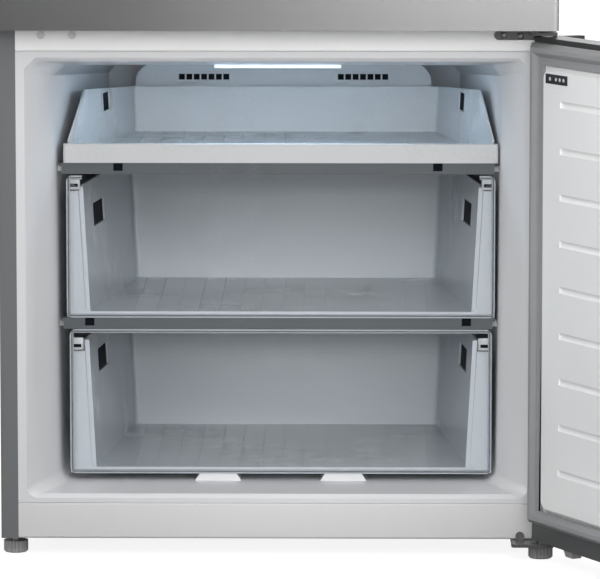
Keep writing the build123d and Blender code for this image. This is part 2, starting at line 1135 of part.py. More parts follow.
def door_filling(low, high, back):
    """What fits inside a door's folded skin between two heights."""
    half = inner_half - touch_gap
    front = pan_front + touch_gap
    with BuildPart() as filling:
        with BuildSketch(Plane.XY.offset(low)) as outline:
            with Locations((0, (front + back) / 2)):
                Rectangle(2 * half, back - front)
            fillet(outline.vertices().sort_by(Axis.Y)[:2], door_corner)
        extrude(amount=high - low)
    return filling.part


def frame_ring(outer_half, outer_low, outer_high, side, below, above, front, back):
    """An upright rectangular ring with its own width at the sides, below and above."""
    with BuildPart() as ring:
        add(block(-outer_half, outer_half, front, back, outer_low, outer_high))
        add(
            block(
                side - outer_half, outer_half - side, front, back, outer_low + below, outer_high - above
            ),
            mode=Mode.SUBTRACT,
        )
    return ring.part


def gasket(low, high):
    """A door seal: a flat foot all round and, at its outer edge, the bellows that meets the cabinet."""
    half = cabinet_width / 2 - gasket_inset
    with BuildPart() as seal:
        add(
            frame_ring(
                half, low, high, gasket_side, gasket_bottom, gasket_top, door_back, door_back + gasket_foot
            )
        )
        add(
            frame_ring(
                half, low, high, gasket_lip, gasket_lip, gasket_lip, door_back, gasket_front
            )
        )
        chamfer(
            seal.faces().filter_by(Axis.Y).sort_by(Axis.Y)[-1].edges(), gasket_chamfer
        )
    return seal.part


def bushes(lower_radius, lower_length, lower_height, upper_radius, upper_length, upper_height):
    """The two plastic bushes of a door, on its hinge axis; the upper one has a flange on top."""
    with BuildPart() as pair:
        for radius, length, height, sign in (
            (lower_radius, lower_length, lower_height, 1),
            (upper_radius, upper_length, upper_height, -1),
        ):
            end = height + sign * length
            add(
                cylinder(
                    hinge_x, hinge_y, min(height, end), max(height, end), radius + running_fit + bush_wall
                )
            )
            if sign < 0:
                add(
                    cylinder(
                        hinge_x, hinge_y, height, height + bush_flange, radius + running_fit + bush_wall
                    )
                )
            add(
                cylinder(
                    hinge_x, hinge_y, min(height, end), max(height, end) + bush_flange,
                    radius + running_fit,
                ),
                mode=Mode.SUBTRACT,
            )
    return pair.part


freezer_seal_low = freezer_door_low + bottom_cap_height
freezer_seal_high = freezer_door_high - top_cap_height
grip_top = freezer_door_high - grip_lip_drop
skin_top = grip_top - grip_lip
cap_low = freezer_door_high - grip_depth - grip_floor
lower_bush_hole = lower_pin_radius + running_fit + bush_wall + touch_gap
mid_bush_hole = mid_pin_radius + running_fit + bush_wall + touch_gap

freezer_skin = door_skin(freezer_door_low, skin_top)
freezer_foam_part = door_filling(freezer_seal_low, cap_low, liner_back)

with BuildPart() as freezer_bottom_cap:
    add(door_filling(freezer_door_low, freezer_seal_low, door_back))
    add(
        cylinder(hinge_x, hinge_y, freezer_door_low, freezer_door_low + lower_pin_height, lower_bush_hole),
        mode=Mode.SUBTRACT,
    )

# The freezer door's top cap has a finger groove behind a low lip, closed at both ends.
half = cabinet_width / 2
with BuildPart() as freezer_top_cap:
    add(door_filling(cap_low, skin_top, liner_back - touch_gap))
    add(block(-half, half, door_front, liner_back - touch_gap, skin_top, freezer_seal_high))
    add(block(-half, half, door_front, door_back, freezer_seal_high, freezer_door_high))
    groove_half_width = half - grip_wall
    add(
        block(
            -groove_half_width,
            groove_half_width,
            door_front,
            door_back - grip_back,
            grip_top,
            freezer_door_high,
        ),
        mode=Mode.SUBTRACT,
    )
    add(
        block(
            -groove_half_width,
            groove_half_width,
            door_front + grip_lip,
            door_back - grip_back,
            freezer_door_high - grip_depth,
            grip_top,
        ),
        mode=Mode.SUBTRACT,
    )
    add(
        cylinder(
            hinge_x, hinge_y, freezer_door_high - mid_pin_height - bush_flange, freezer_door_high,
            mid_bush_hole,
        ),
        mode=Mode.SUBTRACT,
    )

# The freezer door's liner: a flat sheet with a raised field, which carries nine grooves.
field_half = cabinet_width / 2 - gasket_inset - gasket_side
field_low = freezer_seal_low + gasket_bottom
field_high = freezer_seal_high - gasket_top
field_face = door_back + field_rise


def raised_field(inset, back, face):
    """The raised field's block, from a depth to its face, with slanted sides."""
    with BuildPart() as field:
        for depth, slant in ((back, 0), (face, field_slant)):
            with BuildSketch(facing(depth)):
                with Locations((0, (field_low + field_high) / 2)):
                    RectangleRounded(
                        2 * (field_half - inset - slant),
                        field_high - field_low - 2 * (inset + slant),
                        field_corner,
                    )
        loft(ruled=True)
    return field.part


def groove_rods(radius, reach):
    """Rods along the grooves of the freezer door's liner."""
    with BuildPart() as rods:
        with BuildSketch(Plane.YZ):
            for i in range(groove_count):
                with Locations((field_face + groove_radius - groove_sink, groove_first + groove_pitch * i)):
                    Circle(radius)
        extrude(amount=reach, both=True)
    return rods.part


with BuildPart() as freezer_door_liner:
    add(
        block(
            -inner_half, inner_half, liner_back, door_back, freezer_seal_low, freezer_seal_high
        )
    )
    add(raised_field(0, door_back, field_face))
    add(
        raised_field(door_liner_sheet, liner_back, field_face - door_liner_sheet), mode=Mode.SUBTRACT
    )
    add(groove_rods(groove_radius + door_liner_sheet, groove_half + door_liner_sheet))
    add(
        block(-half, half, field_face, field_face + 2 * groove_radius, field_low, field_high),
        mode=Mode.SUBTRACT,
    )
    add(groove_rods(groove_radius, groove_half), mode=Mode.SUBTRACT)

# The freezer door's bushes, with the nylon stop under the door beside the lower one.
with BuildPart() as freezer_bushes:
    add(
        bushes(
            lower_pin_radius,
            lower_pin_height,
            freezer_door_low,
            mid_pin_radius,
            mid_pin_height,
            freezer_door_high,
        )
    )
    for height, slant in ((freezer_door_low, 0), (freezer_door_low - stop_drop, stop_slant)):
        with BuildSketch(Plane.XY.offset(height)):
            with Locations((hinge_x - stop_reach, hinge_y - stop_inset)):
                Rectangle(stop_length - 2 * slant, stop_width - 2 * slant)
    loft(ruled=True)

# The freezer door is built shut and swung open about its hinge.
hinge_axis = Axis((hinge_x, hinge_y, 0), (0, 0, 1))
for piece, name in (
    (freezer_skin, "freezer_door_skin"),
    (freezer_foam_part, "freezer_door_foam"),
    (freezer_bottom_cap.part, "freezer_door_bottom_cap"),
    (freezer_top_cap.part, "freezer_door_top_cap"),
    (freezer_door_liner.part, "freezer_door_liner"),
    (gasket(freezer_seal_low, freezer_seal_high), "freezer_door_gasket"),
    (freezer_bushes.part, "freezer_door_bushes"),
):
    save(piece.rotate(hinge_axis, freezer_door_angle), name)

# ---------------------------------------------------------------- fridge door, shut
fridge_seal_low = fridge_door_low + fridge_band
fridge_seal_high = fridge_door_high - fridge_band
save(door_skin(fridge_door_low, fridge_door_high), "fridge_door_skin")
save(
    door_filling(
        fridge_door_low + fridge_cap_height, fridge_door_high - fridge_cap_height, liner_back
    ),
    "fridge_door_foam",
)
save(gasket(fridge_seal_low, fridge_seal_high), "fridge_door_gasket")
save(
    bushes(
        mid_pin_radius,
        mid_pin_height,
        fridge_door_low,
        mid_pin_radius,
        top_pin_height,
        fridge_door_high,
    ),
    "fridge_door_bushes",
)
cap_half = inner_half - touch_gap

with BuildPart() as fridge_door_bottom_cap:
    add(door_filling(fridge_door_low, fridge_door_low + fridge_cap_height, liner_back - touch_gap))
    add(
        block(-cap_half, cap_half, liner_back - touch_gap, door_back, fridge_door_low, fridge_seal_low)
    )
    add(
        block(
            -pull_half, pull_half, -pull_front, -pull_back, fridge_door_low, fridge_door_low + pull_height
        ),
        mode=Mode.SUBTRACT,
    )
    add(
        cylinder(hinge_x, hinge_y, fridge_door_low, fridge_door_low + mid_pin_height, mid_bush_hole),
        mode=Mode.SUBTRACT,
    )
save(fridge_door_bottom_cap.part, "fridge_door_bottom_cap")

with BuildPart() as fridge_door_top_cap:
    add(door_filling(fridge_door_high - fridge_cap_height, fridge_door_high, liner_back - touch_gap))
    add(
        block(-cap_half, cap_half, liner_back - touch_gap, door_back, fridge_seal_high, fridge_door_high)
    )
    add(
        cylinder(hinge_x, hinge_y, fridge_door_high - top_pin_height, fridge_door_high, mid_bush_hole),
        mode=Mode.SUBTRACT,
    )
save(fridge_door_top_cap.part, "fridge_door_top_cap")


def dyke(inset, back, face):
    """The outline of the fridge door's raised wall, from a depth to its face, with slanted sides."""
    with BuildPart() as wall:
        for depth, slant in ((back, 0), (face, dyke_slant)):
            with BuildSketch(facing(depth)):
                with Locations((0, (dyke_low + dyke_high) / 2)):
                    RectangleRounded(
                        2 * (dyke_outer - inset - slant),
                        dyke_high - dyke_low - 2 * (inset + slant),
                        dyke_corner,
                    )
        loft(ruled=True)
    return wall.part


def dyke_inside(inset):
    """The space that the fridge door's raised wall surrounds, where its bins hang."""
    side = dyke_inner + inset
    return block(
        -side, side, liner_back, dyke_reach, dyke_low + dyke_width - inset, dyke_high - dyke_width + inset
    )


with BuildPart() as dyke_hollow:
    add(dyke(dyke_wall, liner_back, dyke_reach - dyke_wall))
    add(dyke_inside(dyke_wall), mode=Mode.SUBTRACT)

with BuildPart() as fridge_door_liner:
    add(dyke(0, door_back, dyke_reach))
    add(dyke_inside(0), mode=Mode.SUBTRACT)
    add(block(-inner_half, inner_half, liner_back, door_back, fridge_seal_low, fridge_seal_high))
    add(dyke_hollow.part, mode=Mode.SUBTRACT)
    for height, wall in zip(bin_heights, bin_walls):
        nub_top = height + wall - rim_sheet
        for side in (-1, 1):
            inner = side * (bin_half + touch_gap)
            outer = side * (dyke_inner + dyke_wall)
            add(
                block(
                    min(inner, outer), max(inner, outer), rim_front, rim_back, nub_top - rim_sheet, nub_top
                )
            )
save(fridge_door_liner.part, "fridge_door_liner")

for height, wall, name in zip(bin_heights, bin_walls, bin_names):
    top = height + wall
    with BuildPart() as door_bin:
        add(tub(bin_half, bin_half, door_back + touch_gap, bin_back, height, top, bin_draft))
        for side in (-1, 1):
            inner = side * (bin_half - drawer_wall)
            outer = side * bin_rim_half
            add(block(min(inner, outer), max(inner, outer), rim_front, rim_back, top - rim_sheet, top))
    save(door_bin.part, name)

# ---------------------------------------------------------------- hinges, on one upright axis
with BuildPart() as lower_hinge:
    with BuildSketch(Plane.XY.offset(underside - bracket_sheet)) as outline:
        with Locations(
            ((lower_plate_left + inner_half) / 2, (lower_plate_front + lower_plate_back) / 2)
        ):
            Rectangle(inner_half - lower_plate_left, lower_plate_back - lower_plate_front)
        fillet(outline.vertices(), bracket_corner)
        with Locations((foot_x, right_foot_y)):
            Circle(stud_radius + touch_gap, mode=Mode.SUBTRACT)
    extrude(amount=bracket_sheet)
    lug_radius = (lug_right - lug_left) / 2
    with BuildSketch(facing(0)):
        with Locations(((lug_left + lug_right) / 2, (underside - bracket_sheet + lug_top - lug_radius) / 2)):
            Rectangle(lug_right - lug_left, lug_top - lug_radius - underside + bracket_sheet)
        with Locations(((lug_left + lug_right) / 2, lug_top - lug_radius)):
            Circle(lug_radius)
    extrude(amount=lug_sheet)
    add(cylinder(hinge_x, hinge_y, underside, freezer_door_low - touch_gap, collar_radius))
    add(
        cylinder(
            hinge_x, hinge_y, underside, freezer_door_low + lower_pin_height - touch_gap, lower_pin_radius
        )
    )
save(lower_hinge.part, "lower_hinge")

flange_height = tongue_high - mid_flange_low
with BuildPart() as mid_hinge:
    with BuildSketch(facing(0)) as flange:
        with Locations(
            ((mid_flange_left + mid_flange_right) / 2, (mid_flange_low + tongue_high) / 2)
        ):
            Rectangle(mid_flange_right - mid_flange_left, flange_height)
        fillet(flange.vertices().sort_by(Axis.X)[:2], flange_height / 2 - touch_gap)
    extrude(amount=mid_flange_sheet)
    with BuildSketch(Plane.XY.offset(tongue_low)) as tongue:
        with Locations(((tongue_left + cabinet_width / 2) / 2, tongue_front / 2)):
            Rectangle(cabinet_width / 2 - tongue_left, -tongue_front)
        fillet(tongue.vertices().sort_by(Axis.Y)[:2], bracket_corner)
    extrude(amount=bracket_sheet)
    add(cylinder(hinge_x, hinge_y, tongue_high, fridge_door_low - touch_gap, collar_radius))
    add(
        cylinder(
            hinge_x,
            hinge_y,
            freezer_door_high - mid_pin_height + touch_gap,
            fridge_door_low + mid_pin_height - touch_gap,
            mid_pin_radius,
        )
    )
save(mid_hinge.part, "mid_hinge")

with BuildPart() as top_hinge:
    with BuildSketch(Plane.XY.offset(cabinet_top)) as outline:
        with Locations(
            ((top_plate_left + top_plate_right) / 2, (tongue_front + top_plate_back) / 2)
        ):
            Rectangle(top_plate_right - top_plate_left, top_plate_back - tongue_front)
        fillet(outline.vertices(), bracket_corner)
    extrude(amount=bracket_sheet)
    add(
        cylinder(
            hinge_x, hinge_y, fridge_door_high - top_pin_height + touch_gap, cabinet_top, mid_pin_radius
        )
    )
save(top_hinge.part, "top_hinge")

with BuildPart() as top_hinge_cover:
    with BuildSketch(Plane.XY.offset(cabinet_top)) as outline:
        with Locations(
            ((hinge_cover_left + cabinet_width / 2) / 2, (hinge_cover_front + hinge_cover_back) / 2)
        ):
            Rectangle(cabinet_width / 2 - hinge_cover_left, hinge_cover_back - hinge_cover_front)
        fillet(outline.vertices(), bracket_corner)
    extrude(amount=hinge_cover_height)
    chamfer(top_hinge_cover.faces().sort_by(Axis.Z)[-1].edges(), hinge_cover_wall)
    add(
        block(
            hinge_cover_left + hinge_cover_wall,
            cabinet_width / 2 - hinge_cover_wall,
            hinge_cover_front + hinge_cover_wall,
            hinge_cover_back - hinge_cover_wall,
            cabinet_top,
            cabinet_top + hinge_cover_height - hinge_cover_wall,
        ),
        mode=Mode.SUBTRACT,
    )
save(top_hinge_cover.part, "top_hinge_cover")

# ---------------------------------------------------------------- evaporator, its cover and fans
def cover_block(inset, front):
    """The evaporator cover's outline with rounded top corners, from a depth to the liner's back."""
    with BuildPart() as solid:
        with BuildSketch(facing(front)) as outline:
            with Locations((0, (floor_height + cover_top - inset) / 2)):
                Rectangle(2 * (cover_half - inset), cover_top - inset - floor_height)
            fillet(outline.vertices().sort_by(Axis.Y)[-2:], cover_corner - inset)
        extrude(amount=front - freezer_back_depth)
    return solid.part


with BuildPart() as evaporator_cover:
    add(cover_block(0, cover_front))
    add(cover_block(cover_wall, cover_front + cover_wall), mode=Mode.SUBTRACT)
    add(hump(-touch_gap), mode=Mode.SUBTRACT)
    with BuildSketch(facing(cover_front)):
        with Locations((-vent_x, vent_height), (vent_x, vent_height)):
            with GridLocations(vent_pitch, 0, vent_count, 1):
                Rectangle(vent_cell, vent_cell)
        with Locations((0, return_height)):
            with GridLocations(return_pitch, 0, return_slots, 1):
                Rectangle(return_slot_width, return_slot_height)
    extrude(amount=-cover_wall, mode=Mode.SUBTRACT)
save(evaporator_cover.part, "evaporator_cover")


def serpentine(depth, left, right, low, high, runs, radius):
    """A tube that runs to and fro across one depth, with a round bend at each turn. Its section has
    six sides, which keeps the many bends light."""
    pitch = (high - low) / (runs - 1)
    with BuildPart() as tube:
        with BuildLine(facing(depth)) as path:
            for i in range(runs):
                height = low + pitch * i
                start, end = (left, right) if i % 2 == 0 else (right, left)
                Line((start, height), (end, height))
                if i < runs - 1:
                    bulge = end + (pitch / 2 if i % 2 == 0 else -pitch / 2)
                    ThreePointArc((end, height), (bulge, height + pitch / 2), (end, height + pitch))
        with BuildSketch(Plane(origin=path.line @ 0, z_dir=path.line % 0)):
            RegularPolygon(radius, coil_sides)
        sweep(path=path.line)
    return tube.part


coil_middle = (coil_front + coil_back) / 2
coil_pitch = (coil_high - coil_low) / coil_runs
coil_run_low = coil_low + coil_pitch / 2
coil_run_high = coil_high - coil_pitch / 2
coil_run_half = coil_half - coil_pitch / 2
fin_pitch = 2 * coil_run_half / fin_count
with BuildPart() as evaporator:
    add(
        serpentine(
            coil_middle,
            -coil_run_half,
            coil_run_half,
            coil_run_low,
            coil_run_high,
            coil_runs,
            coil_tube,
        )
    )
    with BuildSketch(facing(coil_front)):
        with Locations((0, (coil_low + coil_high) / 2)):
            with GridLocations(fin_pitch, 0, fin_count, 1):
                Rectangle(fin_sheet, coil_high - coil_low)
    extrude(amount=coil_front - coil_back)
    with BuildSketch(facing(coil_front)):
        with Locations((0, (coil_low + coil_high) / 2)):
            with GridLocations(fin_pitch * (fin_count - 1), 0, 2, 1):
                Rectangle(2 * fin_sheet, coil_high - coil_low)
    extrude(amount=coil_front - freezer_back_depth)
save(evaporator.part, "evaporator")

with BuildPart() as fan_blade:
    for reach, chord, pitch in (
        (fan_hub - blade_sheet, blade_root, root_pitch),
        (fan_radius, blade_tip, tip_pitch),
    ):
        with BuildSketch(Plane.YZ.offset(reach)):
            with Locations((0, fan_width / 2)):
                Rectangle(chord, blade_sheet, rotation=pitch)
    loft(ruled=True)

with BuildPart() as fan:
    with BuildSketch():
        Circle(fan_hub)
        Circle(fan_shaft + running_fit, mode=Mode.SUBTRACT)
    extrude(amount=fan_width)
    for i in range(fan_blades):
        add(fan_blade.part.rotate(Axis.Z, 360 / fan_blades * i))

evaporator_fan = Pos(0, evaporator_fan_front, evaporator_fan_height) * Rot(-90, 0, 0) * fan.part
save(evaporator_fan, "evaporator_fan")
condenser_fan_left = condenser_fan_x - fan_width / 2
condenser_fan = (
    Pos(condenser_fan_left, machine_middle, condenser_fan_height) * Rot(0, 90, 0) * fan.part
)
save(condenser_fan, "condenser_fan")

# Each fan's motor and shaft: one on the freezer's back wall, one on a leg in the machine room.
with BuildPart() as fan_motors:
    with BuildSketch(facing(evaporator_motor_front)):
        with Locations((0, evaporator_fan_height)):
            Circle(motor_radius)
    extrude(amount=evaporator_motor_front - freezer_back_depth)
    with BuildSketch(facing(evaporator_fan_front)):
        with Locations((0, evaporator_fan_height)):
            Circle(fan_shaft)
    extrude(amount=evaporator_fan_front - freezer_back_depth)
    with BuildSketch(Plane.YZ.offset(condenser_motor_left)):
        with Locations((machine_middle, condenser_fan_height)):
            Circle(motor_radius)
    extrude(amount=condenser_motor_right - condenser_motor_left)
    with BuildSketch(Plane.YZ.offset(condenser_fan_left)):
        with Locations((machine_middle, condenser_fan_height)):
            Circle(fan_shaft)
    extrude(amount=condenser_motor_right - condenser_fan_left)
    add(
        block(
            condenser_motor_left + running_fit,
            condenser_motor_right - running_fit,
            machine_middle - motor_leg,
            machine_middle + motor_leg,
            underside + plate_sheet,
            condenser_fan_height,
        )
    )
save(fan_motors.part, "fan_motors")

# ---------------------------------------------------------------- inside the fridge and freezer
def rounded_block(half, front, back, low, high, corner):
    """A block across the middle with rounded upright corners."""
    with BuildPart() as solid:
        with BuildSketch(Plane.XY.offset(low)):
            with Locations((0, (front + back) / 2)):
                RectangleRounded(2 * half, back - front, corner)
        extrude(amount=high - low)
    return solid.part


freezer_ceiling = freezer_high - ceiling_drop
save(
    rounded_block(
        freezer_lamp_half,
        freezer_lamp_front,
        freezer_lamp_back,
        freezer_ceiling - lamp_height,
        freezer_ceiling,
        lamp_corner,
    ),
    "freezer_lamp",
)
save(
    rounded_block(
        fridge_lamp_half,
        fridge_lamp_front,
        fridge_lamp_back,
        fridge_ceiling - lamp_height,
        fridge_ceiling,
        lamp_corner,
    ),
    "fridge_lamp",
)
save(
    rounded_block(
        control_half,
        control_front,
        control_back,
        fridge_ceiling - control_height,
        fridge_ceiling,
        lamp_corner,
    ),
    "control_panel",
)

with BuildPart() as air_duct_cover:
    add(block(-duct_half, duct_half, duct_front, fridge_back_depth, duct_low, duct_high))
    add(
        block(
            duct_wall - duct_half,
            duct_half - duct_wall,
            duct_front + duct_wall,
            fridge_back_depth,
            duct_low + duct_wall,
            duct_high - duct_wall,
        ),
        mode=Mode.SUBTRACT,
    )
    with BuildSketch(facing(duct_front)):
        with Locations((0, (duct_low + duct_high) / 2)):
            with GridLocations(0, duct_slot_pitch, 1, duct_slots):
                Rectangle(duct_slot_width, duct_slot_height)
    extrude(amount=-duct_wall, mode=Mode.SUBTRACT)
save(air_duct_cover.part, "air_duct_cover")

glass_half = shelf_half - glass_rabbet
glass_front = shelf_front + glass_rabbet
glass_back = shelf_back - glass_rabbet
with BuildPart() as glass_shelves:
    for top in shelf_tops:
        add(
            block(
                touch_gap - glass_half,
                glass_half - touch_gap,
                glass_front + touch_gap,
                glass_back - touch_gap,
                top - glass_sheet,
                top,
            )
        )
save(glass_shelves.part, "glass_shelves")

with BuildPart() as shelf_frames:
    for top in shelf_tops:
        add(block(-shelf_half, shelf_half, shelf_front, shelf_back, top - shelf_frame_height, top))
        add(
            block(-glass_half, glass_half, glass_front, glass_back, top - glass_sheet, top),
            mode=Mode.SUBTRACT,
        )
        add(
            block(
                frame_ring_width - shelf_half,
                shelf_half - frame_ring_width,
                shelf_front + frame_ring_width,
                shelf_back - frame_ring_width,
                top - shelf_frame_height,
                top,
            ),
            mode=Mode.SUBTRACT,
        )
save(shelf_frames.part, "shelf_frames")

with BuildPart() as crisper:
    add(
        tub(
            crisper_half, crisper_half, crisper_front, crisper_back, crisper_low, crisper_top, crisper_draft
        )
    )
    add(
        block(
            -lip_half,
            lip_half,
            crisper_front - lip_reach,
            crisper_front + drawer_wall,
            crisper_top - lip_sheet,
            crisper_top,
        )
    )
save(Pos(-crisper_x, 0, 0) * crisper.part, "left_crisper")
save(Pos(crisper_x, 0, 0) * crisper.part, "right_crisper")

# ---------------------------------------------------------------- machine room
room_floor = underside + plate_sheet
well_front = roller_y - roller_radius - well_gap
well_back = roller_y + roller_radius + well_gap
with BuildPart() as compressor_plate:
    add(block(-inner_half, inner_half, machine_depth, plate_back, underside, room_floor))
    for side in (-1, 1):
        near = side * roller_x - roller_width / 2 - roller_gap
        far = side * roller_x + roller_width / 2 + roller_gap
        add(
            block(near, far, well_front, well_back, underside, room_floor),
            mode=Mode.SUBTRACT,
        )
        for left, right in ((near - ear_sheet, near), (far, far + ear_sheet)):
            add(block(left, right, roller_y - ear_half, roller_y + ear_half, ear_low, room_floor))
        with BuildSketch(Plane.YZ.offset(near)):
            with Locations((roller_y, roller_radius)):
                Circle(axle_radius)
        extrude(amount=far - near)
save(compressor_plate.part, "compressor_plate")

with BuildPart() as roller:
    with BuildSketch(Plane.YZ.offset(-roller_width / 2)):
        with Locations((roller_y, roller_radius)):
            Circle(roller_radius)
            Circle(axle_radius + running_fit, mode=Mode.SUBTRACT)
    extrude(amount=roller_width)
save(Pos(-roller_x, 0, 0) * roller.part, "left_roller")
save(Pos(roller_x, 0, 0) * roller.part, "right_roller")

with BuildPart() as compressor:
    with BuildSketch(Plane.XY.offset(compressor_low)):
        with Locations((compressor_x, machine_middle)):
            RectangleRounded(compressor_length, compressor_width, compressor_corner)
    extrude(amount=compressor_high - compressor_low)
    for ring in (compressor.edges().group_by(Axis.Z)[-1], compressor.edges().group_by(Axis.Z)[0]):
        chamfer(ring, compressor_shoulder)
    with BuildSketch(Plane.XY.offset((compressor_low + compressor_high) / 2)):
        with Locations((compressor_x, machine_middle)):
            RectangleRounded(
                compressor_length + 2 * weld_flange,
                compressor_width + 2 * weld_flange,
                compressor_corner + weld_flange,
            )
    extrude(amount=weld_flange)
    with BuildSketch(Plane.XY.offset(compressor_low)):
        with Locations((compressor_x, machine_middle)):
            with GridLocations(0, 2 * grommet_y, 1, 2):
                SlotOverall(2 * (grommet_x + grommet_radius), 2 * grommet_radius)
    extrude(amount=foot_bar)
    with BuildSketch(Plane.XY.offset(room_floor)):
        with Locations((compressor_x, machine_middle)):
            with GridLocations(2 * grommet_x, 2 * grommet_y, 2, 2):
                Circle(grommet_radius)
    extrude(amount=compressor_low - room_floor)
    with BuildSketch(Plane.YZ.offset(compressor_x)):
        with Locations((machine_middle, (compressor_low + compressor_high) / 2 + stub_pitch)):
            with GridLocations(stub_pitch, 0, 3, 1):
                Circle(stub_radius)
    extrude(amount=compressor_length / 2 + stub_length)
save(compressor.part, "compressor")

drain_pan = tub(
    pan_half,
    pan_half,
    pan_side_front,
    pan_side_back,
    compressor_high,
    compressor_high + pan_height,
    pan_draft,
)
save(Pos(compressor_x, 0, 0) * drain_pan, "drain_pan")

condenser_reach = condenser_pitch * (condenser_layers - 1) / 2
with BuildPart() as condenser:
    for i in range(condenser_layers):
        add(
            serpentine(
                machine_middle - condenser_reach + condenser_pitch * i,
                condenser_left,
                condenser_right,
                condenser_low,
                condenser_high,
                condenser_runs,
                condenser_tube,
            )
        )
    for x in (condenser_left + bracket_inset, condenser_right - bracket_inset):
        add(
            block(
                x - base_steel / 2,
                x + base_steel / 2,
                machine_middle - condenser_reach - bracket_margin,
                machine_middle + condenser_reach + bracket_margin,
                room_floor,
                condenser_high + bracket_rise,
            )
        )
save(condenser.part, "condenser")

with BuildPart() as machine_cover:
    add(
        block(
            -cover_side_half,
            cover_side_half,
            cabinet_back - rear_cover_sheet,
            cabinet_back,
            rear_cover_low,
            rear_cover_high,
        )
    )
    with BuildSketch(facing(cabinet_back)):
        with Locations((0, louvre_middle)):
            with GridLocations(louvre_pitch_x, louvre_pitch_z, louvre_columns, louvre_rows):
                Rectangle(louvre_width, louvre_height)
    extrude(amount=rear_cover_sheet, mode=Mode.SUBTRACT)
    with BuildSketch(facing(cabinet_depth)):
        with Locations((gland_x, gland_height)):
            Circle(gland_radius)
    extrude(amount=steel + rear_cover_sheet)
    with BuildSketch(facing(cabinet_depth)):
        with Locations((gland_x, gland_height)):
            Circle(gland_bore)
    extrude(amount=steel + rear_cover_sheet, mode=Mode.SUBTRACT)
save(machine_cover.part, "machine_cover")


# ---------------------------------------------------------------- levelling feet
def foot(x, y, stud_top):
    """A levelling foot: a ridged disc with a chamfered bottom, and its stud."""
    with BuildPart() as leveller:
        with BuildSketch():
            with Locations((x, y)):
                Circle(foot_radius)
        extrude(amount=foot_height)
        chamfer(leveller.edges().group_by(Axis.Z)[0], foot_chamfer)
        with BuildSketch():
            with Locations((x, y)):
                with PolarLocations(foot_radius, foot_ridges):
                    RegularPolygon(ridge_radius, 4)
        extrude(amount=foot_height, mode=Mode.SUBTRACT)
        add(cylinder(x, y, foot_height, stud_top, stud_radius))
    return leveller.part


save(foot(-foot_x, left_foot_y, underside + stud_length), "left_foot")
save(foot(foot_x, right_foot_y, freezer_door_low - stud_gap), "right_foot")
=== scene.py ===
"""Looks, small fittings, lights and camera for a bottom freezer refrigerator with its freezer open."""

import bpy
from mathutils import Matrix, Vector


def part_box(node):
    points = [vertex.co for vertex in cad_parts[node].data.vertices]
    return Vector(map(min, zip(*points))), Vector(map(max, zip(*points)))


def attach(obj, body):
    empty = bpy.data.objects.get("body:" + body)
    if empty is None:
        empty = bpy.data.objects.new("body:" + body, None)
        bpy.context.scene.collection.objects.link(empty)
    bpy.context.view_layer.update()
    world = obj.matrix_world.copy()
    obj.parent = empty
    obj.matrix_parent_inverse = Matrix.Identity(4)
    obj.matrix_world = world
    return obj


bl_info = {
    "name": "Bottom Freezer Refrigerator",
    "version": (1, 0, 0),
    "blender": (4, 5, 0),
    "location": "View3D > Sidebar > Refrigerator",
    "description": "Finishes the refrigerator's parts and adds its small fittings and a studio",
    "category": "Object",
}

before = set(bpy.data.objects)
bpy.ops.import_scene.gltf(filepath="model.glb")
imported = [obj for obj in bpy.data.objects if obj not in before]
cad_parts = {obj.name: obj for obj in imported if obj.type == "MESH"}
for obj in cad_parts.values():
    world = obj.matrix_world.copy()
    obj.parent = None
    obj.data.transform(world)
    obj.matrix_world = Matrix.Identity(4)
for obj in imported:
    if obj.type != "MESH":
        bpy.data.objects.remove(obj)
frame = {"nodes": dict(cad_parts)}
import math
from collections import namedtuple

import bmesh
import bpy
from mathutils import Matrix, Vector

NODES = frame["nodes"]

# The freezer door turns about this upright line, and stands open by this angle.
HINGE = Vector((0.338, -0.024, 0.0))
DOOR_ANGLE = math.radians(116.7)

# Edges sharper than this stay crisp, and corners closer than the other are joined.
CREASE = math.radians(35)
WELD_DISTANCE = 0.000002
QUARTER_TURN = math.radians(90)
SIDES = ((-1, "left"), (1, "right"))

# The freezer's three containers: where they start, their depth and wall, and how far to the right they stand.
CONTAINER_FRONT = 0.072
CONTAINER_DEPTH = 0.396
CONTAINER_WALL = 0.0025
CONTAINER_SHIFT = 0.0035
# Half width at the front and back, lean of the side wall, height of the floor and the rim, and then
# the middle and the size of the slot in each side wall.
Container = namedtuple("Container", "name body near far draft low high slot_y slot_z slot_length slot_height")
CONTAINERS = (
    Container("top_tray", "tray", 0.273, 0.2075, 0.004, 0.4943, 0.577,
              0.3035, 0.552, 0.045, 0.028),
    Container("middle_drawer", "middle_drawer", 0.258, 0.211, 0.009, 0.2961, 0.462,
              0.210, 0.416, 0.085, 0.035),
    Container("bottom_drawer", "bottom_drawer", 0.251, 0.213, 0.009, 0.0953, 0.266,
              0.216, 0.225, 0.085, 0.035),
)


def colour_setting(name, description, default):
    """A colour setting."""
    return bpy.props.FloatVectorProperty(
        name=name, description=description, subtype="COLOR", size=3, min=0, max=1, default=default)


def length_setting(name, description, default, least):
    """A length setting, in metres."""
    return bpy.props.FloatProperty(
        name=name, description=description, unit="LENGTH", default=default, min=least)


def number_setting(name, description, default, least=0):
    """A plain number setting."""
    return bpy.props.FloatProperty(name=name, description=description, default=default, min=least)


